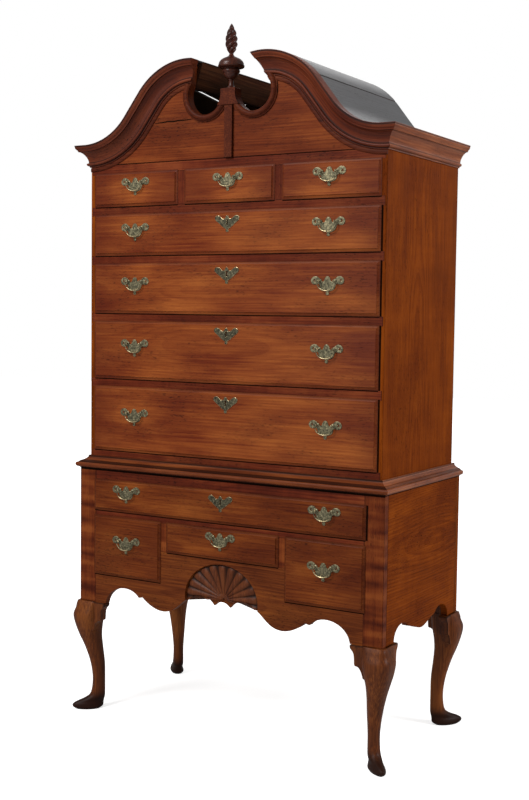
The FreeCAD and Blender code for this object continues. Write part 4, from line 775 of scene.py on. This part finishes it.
# The crack is a thin dark sliver on the board's face: painted shade standing for the open split.
middle = curve(CRACK, 6)
width = CRACK_HALF * np.sin(np.linspace(0, math.pi, len(middle))) ** 0.6 + 0.00005
rims = [np.stack((middle[:, 0], np.full(len(middle), CASE_FRONT + back), middle[:, 1] + rise * width), axis=1)
        for back, rise in ((-PROUD, -1), (-PROUD, 1), (0.002, 0))]
show("scroll_board_crack", [skin(np.stack(rims, axis=1))], 0, "upper_case", SHADOW, "cherry")
shadow("scroll_board_joint", "upper_case",
       slab((-JOINT_HALF, CASE_FRONT - PROUD, JOINT_LOW), (JOINT_HALF, CASE_FRONT + 0.001, JOINT_HIGH)))
levels = np.concatenate((np.linspace(1.820, 1.862, 12), [1.8652, 1.866]))
rounding = np.array([0] * 12 + [0.0004, 0.0014])
half = OPENING_X - np.sqrt(TONGUE_HOLLOW ** 2 - (levels - OPENING_Z) ** 2) - rounding
tongue = carried(between(-half, levels, half, levels), (-0.2452, -0.2116))
strip = [(points, faces) for points, faces in solids_of("finial_plinth") if points[:, 2].max() < STRIP_TOP]
mesh = worn(strip + [tongue], 0.0005, 1)
piece("plinth_and_strip", mesh, "upper_case", RING_CHERRY, "cherry", "finial_plinth")
rings = []
for points, faces in solids_of("scroll_rings"):
    side = math.copysign(1, points[:, 0].mean())
    away = np.stack((side * points[:, 0] - OPENING_X, points[:, 2] - OPENING_Z), axis=1)
    turn = np.arctan2(away[:, 1], away[:, 0])
    last = math.radians(RING_ENDS[side])
    beyond = (turn > last) & (turn < math.radians(100))
    radius = np.linalg.norm(away[beyond], axis=1)
    points[beyond, 0] = side * (OPENING_X + radius * math.cos(last))
    points[beyond, 2] = OPENING_Z + radius * math.sin(last)
    rings.append((points, faces))
mesh = worn(rings, 0.0003, 0)
piece("opening_rings", mesh, "upper_case", RING_CHERRY, "cherry", "scroll_rings", sharp=40)


# --- Finial -----------------------------------------------------------
# Turned from one block of dark cherry: a foot, a vase, a domed lid with a bead under its rim, and
# a flame carved with four ribs that wind round it.
FINIAL_CHERRY = wood("finial_cherry", (16, 4, 2), (48, 10, 5), (100, 24, 10),
                     rough=0.3, polish=0.25, dirt_and_shade_strength=0.0, stain=(16, 5, 3))
TURNING = np.concatenate((
    [(0, 8), (11.6, 8), (12.4, 8.6), (12.6, 9.8), (12, 11)],
    curve([(10.4, 12), (8.2, 15.4), (6.8, 21), (6.4, 26), (6.6, 30)], 5),
    [(7.6, 31), (8.4, 32.2), (8, 33.4)],
    curve([(9.4, 34), (13.4, 37), (18, 41.8), (20.8, 47), (21.4, 50.2)], 5),
    curve([(22.6, 51.4), (24.4, 53.6), (25, 56.4), (24.4, 59.2), (22.4, 61.6)], 4),
    [(21.2, 62.4), (21.2, 64), (24, 64.6), (30, 65), (35.2, 66.2)],
    curve([(36.8, 67.6), (37.5, 69.8), (37.3, 72.4)], 4),
    [(36.4, 73), (36.2, 74)],
    curve([(35.6, 77.4), (33.4, 82.4), (29, 87.4), (22.5, 91.6), (15, 94.8), (9.8, 97.8),
           (7, 101), (5.6, 103.6)], 5)))
FLAME = [(5.6, 103.8), (7, 107), (11.6, 113.4), (15.6, 121), (17.2, 130), (17.6, 140), (16.6, 150),
         (14.4, 160), (11.6, 168), (7.4, 177), (3.2, 184.4), (0.4, 188)]
FINIAL_TALL = 0.188
FLAME_FOOT = 0.104
RIB_FADE = 0.012
RIB_TWIST = 178
RIB_DEEP = 0.30

low, high = box_of("finial")
axis = (low + high) / 2
radius, level = TURNING.T / 1000
flame_radius, flame_level = curve(FLAME, 14).T / 1000
turn = np.linspace(0, 2 * math.pi, 72, endpoint=False)
rib = np.abs(np.cos(2 * turn - RIB_TWIST * flame_level[:, None]))
cut = (np.clip((flame_level - FLAME_FOOT) / RIB_FADE, 0, 1)
       * np.clip((FINIAL_TALL - flame_level) / RIB_FADE, 0.15, 1))
flame_radius = flame_radius[:, None] * (1 - RIB_DEEP * cut[:, None] * (1 - rib))
radii = np.concatenate((np.broadcast_to(radius[:, None], (len(radius), len(turn))), flame_radius))
levels = np.concatenate((level, flame_level))[:, None]
levels = low[2] + levels / FINIAL_TALL * (high[2] - low[2])
shape = np.stack((axis[0] + radii * np.cos(turn), axis[1] + radii * np.sin(turn),
                  np.broadcast_to(levels, radii.shape)), axis=-1)
mesh = closed_mesh(skin(shape))
mark(mesh, places_of(mesh)[:, [2, 0, 1]], 1)
piece("finial_turning", mesh, "upper_case", FINIAL_CHERRY, "cherry", "finial", sharp=50)


# --- Legs -------------------------------------------------------------
# Each cabriole leg and its corner post are one piece of cherry: sawn to the curve from two faces,
# then rounded with a spokeshave, with a soft arris left down the front.  It ends in a slipper foot,
# and two shaped knee blocks are glued to it below the case.
LEG_CHERRY = wood("leg_cherry", (42, 9, 3), (125, 31, 6), (250, 74, 13),
                  rough=0.4, polish=0.14, dirt_and_shade_strength=0.92, figure=0.08, stain=(35, 8, 3))
LEG_TOP = 0.345
POST_TOP = 0.770
EAR = np.concatenate((
    [(20, 0), (93.4, 0)],
    curve([(95.4, -1), (96.6, -4.6), (95, -11), (88.5, -18), (84.6, -26), (83, -38), (82.6, -50),
           (81.6, -55)], 4),
    [(79.5, -57.2), (73, -58)],
    curve([(68, -61), (61, -72), (56, -88)], 4),
    [(40, -96), (20, -96)]))
SIDE_EAR = EAR.copy()
SIDE_EAR[:, 0] -= np.clip(EAR[:, 0] - 60, 0, 40) * 0.28
EAR_SHARE = np.stack((np.where(EAR[:, 0] > 30, 1.0, 0.0), np.where(EAR[:, 1] > -1.5, 0.6, 0.0)), axis=1)
EAR_FACE = np.array([(-6, 2.4), (-5.6, 1.2), (-4.6, 0.4), (-3.2, 0), (21, 0)], float)
STATIONS = np.array([
    (0, 10, -60, 2, 20, 0.3), (7, 22, -70, 2, 25, 0.3), (16, 24, -72, 2, 23.8, 0.35),
    (24, 12, -73, 2, 20, 0.3), (36, -18, -76, 2, 19, 0.1), (52, -33, -77, 2, 17.5, 0),
    (95, -38, -77, 2, 17, 0), (146, -31, -76, 2.1, 21, 0), (197.5, -14, -70, 2.3, 27, 0),
    (235, 3, -67, 2.6, 34, 0), (270, 16, -70, 3, 43, 0), (300, 22, -76, 3.4, 48, 0),
    (323, 14, -78, 4, 46, 0)], float)
SHOULDER = [STATIONS[-1], (334, 12, -80.5, 5.2, 45, 0), (341, 9.5, -83, 6.4, 44.4, 0),
            (343.6, 8.4, -84, 7, 44, 0), (344.9, 6, -84, 7, 43.5, 0)]
DARKENED_UP_TO = 0.030


def leg_rings(stations):
    """Rings of the leg with the case's corner at the origin.  A station gives, in millimetres, the
    height, the outer and the inner reach along the diagonal, then the power, the half width and
    how much narrower the outer end is.  Each ring is a superellipse turned by an eighth and set
    along the diagonal between the two reaches, so that a high power gives an arris to the front."""
    height, outer, inner, power, half_width, taper = stations.T[..., None]
    turn = np.linspace(0, 2 * math.pi, 48, endpoint=False)
    largest = (2 * math.sqrt(0.5) ** power) ** (-1 / power)
    ring = (np.abs(np.cos(turn - math.pi / 4)) ** power
            + np.abs(np.sin(turn - math.pi / 4)) ** power) ** (-1 / power) / largest
    along = ring * np.cos(turn)
    sideways = half_width * ring * np.sin(turn) * (1 - taper * (along + 1) / 2)
    outwards = (outer + inner) / 2 + (outer - inner) / 2 * along
    return np.stack(((sideways - outwards) * math.sqrt(0.5), (-outwards - sideways) * math.sqrt(0.5),
                     np.broadcast_to(height, along.shape)), axis=-1) / 1000


def knee_block(outline, across, through):
    """A knee block against the leg, whose outline runs along one axis and whose face's rounded edge
    is drawn in by EAR_FACE as far as EAR_SHARE lets it at each point."""
    block = np.empty((len(EAR_FACE), len(EAR), 3))
    block[..., across] = (outline[:, 0] - EAR_FACE[:, 1:] * EAR_SHARE[:, 0]) / 1000
    block[..., through] = EAR_FACE[:, :1] / 1000
    block[..., 2] = LEG_TOP - 0.0001 + (outline[:, 1] - EAR_FACE[:, 1:] * EAR_SHARE[:, 1]) / 1000
    return skin(block)


LEG = skin(np.concatenate((leg_rings(curve(STATIONS, 6)), leg_rings(curve(SHOULDER, 5))[1:])))
POST = slab((0.020, 0.020, LEG_TOP - 0.001), (0.060, 0.060, POST_TOP))
BLOCKS = (knee_block(EAR, 0, 1), knee_block(SIDE_EAR, 1, 0))
for node, side, end in (("front_left_leg", -1, -1), ("front_right_leg", 1, -1),
                        ("back_right_leg", 1, 1), ("back_left_leg", -1, 1)):
    corner = np.array((side * LOWER_HALF, end * LOWER_BACK, 0))
    mirror = (-side, -end, 1)
    mesh = closed_mesh(*((points * mirror + corner, faces) for points, faces in (LEG, POST)))
    places = places_of(mesh)
    # Each leg is painted darker towards the floor: fully over its lowest three centimetres, fading out some
    # three centimetres higher.
    mark(mesh, (places - corner)[:, [2, 0, 1]] + chance.random(3) * (9, 0.04, 0.04),
         np.clip(places[:, 2] - DARKENED_UP_TO, 0, 1) * 0.18 + 0.0002)
    piece(f"{node}_cabriole", mesh, "lower_case", LEG_CHERRY, "cherry", node, sharp=45)
    blocks = [(points * mirror + corner, faces) for points, faces in BLOCKS]
    show(f"{node}_knee_blocks", blocks, 2, "lower_case", LEG_CHERRY, "cherry", node)


# --- Apron ------------------------------------------------------------
# One cherry board under the drawers, sawn to cusps and arches, with a fan of eleven lobes carved
# into its middle.
APRON = wood("apron_cherry", (55, 10, 3), (138, 32, 7), (250, 68, 12),
             dirt_and_shade_strength=0.5, edge=0.008, stain=(50, 9, 3))
FAN_CHERRY = wood("fan_cherry", (40, 9, 3), (115, 29, 8), (220, 66, 17),
                  rough=0.4, polish=0.14, dirt_and_shade_strength=0.9, edge=0.007, figure=0.04, stain=(50, 10, 4))
LOBES = 11
FAN_HALF, FAN_TALL, FAN_Z = 0.125, 0.106, 0.407
FAN_INSET = 0.0008
FAN_BACK = -0.244
HOLLOW_BACK = -0.2465
HUB_X, HUB_Z = 0.010, 0.413
HUB_REACH = 0.145
ARCH = np.array([(0, 402.6), (8, 401), (16, 396.5), (27, 389.5), (34, 393), (45, 401.5), (58, 409.5),
                 (68, 412.8), (76, 413.6), (88, 411.6), (100, 405.5), (112, 396), (124, 384),
                 (140, 372)]) / 1000

[(points, faces)] = solids_of("front_apron")
oval = (points[:, 0] / FAN_HALF) ** 2 + ((points[:, 2] - FAN_Z) / FAN_TALL) ** 2
points[(oval < 1.002) & (points[:, 1] > -0.2558) & (points[:, 1] < -0.24), 1] = HOLLOW_BACK
mesh = worn([(points, faces)], 0.0006, 0)
piece("carved_apron", mesh, "lower_case", APRON, "cherry", "front_apron", sharp=38)

# The fan is a grid: its bow runs round the oval, and its reach from the hub out to the rim.  Across
# a lobe, the surface rises from the groove to the crest as a flattened arch, and each lobe ends in
# a quarter of a circle.  The apron's own arches cut it off below.
bow = np.linspace(math.radians(-7), math.radians(187), 14 * LOBES + 1)[:, None]
reach = np.concatenate((np.linspace(0.03, 0.13, 6), np.linspace(0.16, 0.8, 24), np.linspace(0.83, 1, 12)))
x = HUB_X + reach * ((FAN_HALF - FAN_INSET) * np.cos(bow) - HUB_X)
z = HUB_Z + reach * (FAN_Z + (FAN_TALL - FAN_INSET) * np.sin(bow) - HUB_Z)
place = (bow / math.pi * LOBES) % 1 * 2 - 1
groove = 0.0030 + 0.0058 * reach
crest = 0.0016 - 0.0008 * reach
full = np.sqrt(1 - np.clip((reach - 0.80) / 0.20, 0, 1) ** 2) * np.clip((reach - 0.03) / 0.05, 0, 1)
lobe = (1 - place ** 2) ** 0.75 * full
lobe[:, reach < HUB_REACH] = 1.15 * full[reach < HUB_REACH]
depth = groove - (groove - crest) * lobe
z = np.maximum(z, np.interp(np.abs(x), *ARCH.T) + 0.0006)
front = np.stack((x, POSTS_FRONT + depth, z), axis=-1)
back = front[:, ::-1].copy()
back[..., 1] = FAN_BACK
mesh = closed_mesh(skin(np.concatenate((front, back), axis=1)))
# The deeper a point is sunk into the fan, the darker it is painted: painted shade in the grooves.
places = places_of(mesh)
sunk = places[:, 1] - POSTS_FRONT
mark(mesh, places[:, [2, 0, 1]], 0.0085 * np.clip(1 - (sunk - 0.0012) / 0.0056, 0, 1))
piece("carved_fan", mesh, "lower_case", FAN_CHERRY, "cherry", "front_apron", sharp=60)


# --- Brasses ----------------------------------------------------------
# Cast bat-wing plates and lock plates with filed edges, held by turned posts whose nuts sit inside
# the drawer.  The brass is dark with age, and its edges are painted light, partly for wear and
# partly as a painted highlight.  Each bail swings on pins in its posts' round heads, and each
# lock's case is let into the back of the front.
PLATE_THICK = 0.0016
POST_HALF = 0.023
POST_STAND = 0.0096
HEAD = 0.0034
PIN = 0.0013
BAIL_HALF, BAIL_DROP, WIRE = 0.0286, 0.026, 0.0018
INSIDE = LIP_THICK + BLOCK_DEEP
NUT_HALF, NUT_THICK = 0.0045, 0.003
LOCK_DOWN = 0.029
LOCK_HALF, LOCK_DEEP = 0.031, 0.011
KEYHOLE_HALF = 0.0034
BAT_WING = [(0, 13), (3.6, 12.2), (6.6, 9.4), (8.8, 5), (10.6, 0.8), (14, -1.6), (18.2, -0.8), (22.4, 4),
            (27, 9), (32, 12.2), (37.5, 13), (43.5, 11.6), (48.4, 7.8), (51, 2), (49.6, -4),
            (45.6, -8.2), (40.6, -9.8), (35.6, -9.2), (31, -8), (27.6, -8.6), (25.2, -11.6), (24, -16),
            (21.8, -20.6), (17.4, -24.6), (11.6, -27), (6.6, -28.2), (3.8, -30.2), (4.8, -33),
            (4.9, -35.8), (3, -38.2), (0, -39)]
LOCK_WING = [(0, 14.5), (3.2, 13), (5.4, 9.6), (7.6, 6), (11.5, 4.2), (16, 6), (21, 10), (26, 13.3),
             (32, 14.5), (37.5, 12.8), (41, 8), (40, 2.6), (35.5, -1.8), (29, -6.4), (22, -12),
             (14, -18.3), (8, -22), (4.6, -24), (4, -26), (5.2, -28), (4.6, -30.6), (2.6, -32),
             (0, -32.5)]
KEYHOLE = [(0, 3.4), (2.2, 2.6), (3, 0.4), (2.3, -1.8), (1.6, -3), (2, -11.4), (0, -12)]
CURL = [(39.5, 6.6), (43, 5.2), (44.2, 1.6), (42.4, -2), (38.6, -3.4), (35.2, -1.8), (36.6, -0.4),
        (39, -0.6), (40.6, 1.2), (39.8, 3.4), (37.4, 4.4), (36.8, 6)]
CURL_MIDDLE = np.array((39.7, 1.4))
CURL_SHARE = 0.66


def bent(outlines, rim):
    """A flat plate cut to smooth closed outlines, the first one outside and the rest holes, and
    filed off along its rim.  It stands at Y = 0 and faces -Y."""
    shape = bpy.data.curves.new("plate", "CURVE")
    shape.dimensions = "2D"
    shape.fill_mode = "BOTH"
    shape.extrude = PLATE_THICK / 2 - rim
    shape.bevel_depth = rim
    shape.bevel_resolution = 1
    shape.offset = -rim
    for outline in outlines:
        line = shape.splines.new("POLY")
        line.points.add(len(outline) - 1)
        flat = np.column_stack((outline, np.zeros(len(outline)), np.ones(len(outline))))
        line.points.foreach_set("co", flat.ravel())
        line.use_cyclic_u = True
    made = bpy.data.objects.new("plate", shape)
    mesh = bpy.data.meshes.new_from_object(made)
    points = places_of(mesh).astype(float)
    faces = [tuple(face.vertices) for face in mesh.polygons]
    bpy.data.objects.remove(made)
    bpy.data.meshes.remove(mesh)
    return np.stack((points[:, 0], -points[:, 2] - PLATE_THICK / 2, points[:, 1]), axis=1), faces


def both_halves(half):
    """A closed outline from its right half, smoothed, with the left half mirrored."""
    right = curve(np.array(half) / 1000, 5)
    return np.concatenate((right, (right[1:-1] * (-1, 1))[::-1]))


def turned(profile, sides=20):
    """A turned part about the Y axis: its profile's radii at their depths, all the way round."""
    radius, depth = np.asarray(profile, float).T[..., None]
    turn = np.linspace(0, 2 * math.pi, sides, endpoint=False)
    return skin(np.stack((radius * np.cos(turn), np.broadcast_to(depth, (len(profile), sides)),
                          radius * np.sin(turn)), axis=-1))


def tube(path, radii):
    """A wire bent in the XZ plane: rings of the radii, square to the path's direction."""
    ahead = np.gradient(path, axis=0)
    ahead /= np.linalg.norm(ahead, axis=1, keepdims=True)
    sideways = np.stack((-ahead[:, 2], np.zeros(len(path)), ahead[:, 0]), axis=1)
    turn = np.linspace(0, 2 * math.pi, 14, endpoint=False)[:, None]
    spokes = sideways[:, None] * np.cos(turn) + np.array((0, 1, 0)) * np.sin(turn)
    return skin(path[:, None] + spokes * np.asarray(radii)[:, None, None])


def moved(shape, *place):
    """A shape's points, moved by a place, and its faces."""
    points, faces = shape
    return points + place, faces


def brass(name, share=1.0):
    """Old brass: brown-green where it is dirty, yellow along its rim, which is worn by rubbing and
    carries a painted highlight; the third part of its grain tells how much.  The share is how light
    the dirty parts are."""
    material, shader, start = new_material(name)
    rim = start.stored("grain").parts()[2]
    spots = start.node("ShaderNodeTexCoord", output="Object").stretched(200, 200, 200).noise(3.0, 0.6)
    rub_and_highlight = (rim + 0.9 * (spots - 0.55)).step(0.35, 0.85)
    stops = ((0.3, (0.034, 0.031, 0.017)), (0.53, (0.15, 0.134, 0.078)), (0.75, (0.42, 0.36, 0.21)))
    stops = [(place, tuple(share * part for part in colour)) for place, colour in stops]
    dirty = start.node("ShaderNodeValToRGB", {0: spots}, stops=stops)
    dirty.tinted(rub_and_highlight, (0.68, 0.54, 0.30)).feed(shader, "Base Color")
    (0.48 - 0.24 * rub_and_highlight + 0.2 * (spots - 0.5)).feed(shader, "Roughness")
    (0.75 + 0.25 * rub_and_highlight).feed(shader, "Metallic")
    spots.bump(0.0004).feed(shader, "Normal")
    return material


def rubbed_and_highlit(mesh, amount):
    """Mark how much wear and painted highlight each point of a mesh carries, in the third part of its grain.
    """
    places = places_of(mesh)
    set_vectors(mesh, grain=np.column_stack((places[:, 0], places[:, 2], amount)))


BRASS = brass("old_brass")
DARK_BRASS = brass("dark_brass", 0.5)
curl = curve((np.array(CURL + CURL[:1]) - CURL_MIDDLE) * CURL_SHARE / 1000 + CURL_MIDDLE / 1000, 4)[:-1]
PULL_PLATE = bent([both_halves(BAT_WING), curl, curl * (-1, 1)], 0.0012)
LOCK_PLATE = bent([both_halves(LOCK_WING), both_halves(KEYHOLE)], 0.0010)
turn = np.linspace(-math.pi / 2, math.pi / 2, 9)
POST_PIECE = turned(
    [(1e-5, -POST_STAND - HEAD)]
    + [(HEAD * math.cos(angle), HEAD * math.sin(angle) - POST_STAND) for angle in turn[1:-2]]
    + [(0.0020, -POST_STAND + 0.0044), (0.0020, -0.0040), (0.0034, -0.0030), (0.0052, -0.0022),
       (0.0056, -PLATE_THICK), (0.0024, -PLATE_THICK), (0.0024, 0.028), (1e-5, 0.0284)])
NUT = slab((-NUT_HALF, INSIDE, -NUT_HALF), (NUT_HALF, INSIDE + NUT_THICK, NUT_HALF))
around = [(WIRE * math.cos(angle), WIRE * math.sin(angle)) for angle in (-1, -0.5, 0, 0.5, 1)]
BALL = turned([(1e-5, -WIRE), *around, (1e-5, WIRE)], 12)
turn = np.linspace(0, math.pi, 49)
BOW = np.stack((-BAIL_HALF * np.sign(np.cos(turn)) * np.abs(np.cos(turn)) ** 0.9, np.zeros_like(turn),
                -BAIL_DROP * np.sin(turn) ** 0.9), axis=1)
BAIL = [tube(BOW, WIRE * (1.0 - 0.3 * np.abs(np.cos(turn)) ** 3))]
for way in (-1, 1):
    pin = np.array([(way * (POST_HALF - 0.002), 0, 0), (way * BAIL_HALF, 0, 0)])
    BAIL += [tube(pin, (PIN, PIN)), moved(BALL, way * BAIL_HALF, 0, 0)]
for name in drawers:
    low, high = box_of(name)
    face = low[1] - PLATE_THICK + 0.00005
    pulls = [node for node in frame["nodes"] if node.startswith(f"{name}_bail")]
    metal = []
    for node in pulls:
        bail_low, bail_high = box_of(node)
        x, z = (bail_low[0] + bail_high[0]) / 2, bail_high[2] - WIRE
        metal.append(moved(PULL_PLATE, x, low[1], z))
        for way in (-1, 1):
            metal += [moved(shape, x + way * POST_HALF, low[1], z) for shape in (POST_PIECE, NUT)]
        mesh = closed_mesh(*(moved(shape, x, low[1] - POST_STAND, z) for shape in BAIL))
        down = z - places_of(mesh)[:, 2]
        # The bail is painted lighter towards its bottom: wear and a painted highlight.
        rubbed_and_highlit(mesh, 0.24 + 0.42 * np.clip(down / BAIL_DROP, 0, 1))
        piece(f"{node}_bow", mesh, node, BRASS, "brass", node, sharp=50)
    if len(pulls) == 2:
        x, z = (low[0] + high[0]) / 2, high[2] - LOCK_DOWN
        mesh = closed_mesh(moved(LOCK_PLATE, x, low[1], z))
        # The lock plate's rim is painted light against its dark face: wear and a painted highlight.
        rubbed_and_highlit(mesh, np.where(places_of(mesh)[:, 1] < face, 0.05, 0.8))
        piece(f"{name}_lock_plate", mesh, name, DARK_BRASS, "brass", sharp=40)
        # A dark slab behind the keyhole is painted shade in the hole.
        hole = slab((x - KEYHOLE_HALF, low[1] - PROUD, z - 0.0125),
                    (x + KEYHOLE_HALF, low[1] + 0.001, z + 0.0038))
        show(f"{name}_keyhole", [hole], 2, name, SHADOW, "cherry")
        metal.append(slab((x - LOCK_HALF, low[1] + INSIDE - LOCK_DEEP, high[2] - 0.046),
                          (x + LOCK_HALF, low[1] + INSIDE + 0.0004, high[2] - 0.004)))
    mesh = closed_mesh(*metal)
    depth = places_of(mesh)[:, 1]
    # Post heads and the plates' filed edges are painted lighter than the plates' faces: wear and a painted
    # highlight.
    rubbed_and_highlit(mesh, np.where(depth < low[1] - PLATE_THICK - 0.004, 0.55, np.where(depth < face, 0.1, 0.75)))
    piece(f"{name}_metal", mesh, name, BRASS, "brass", f"{name}_brasses", sharp=40)
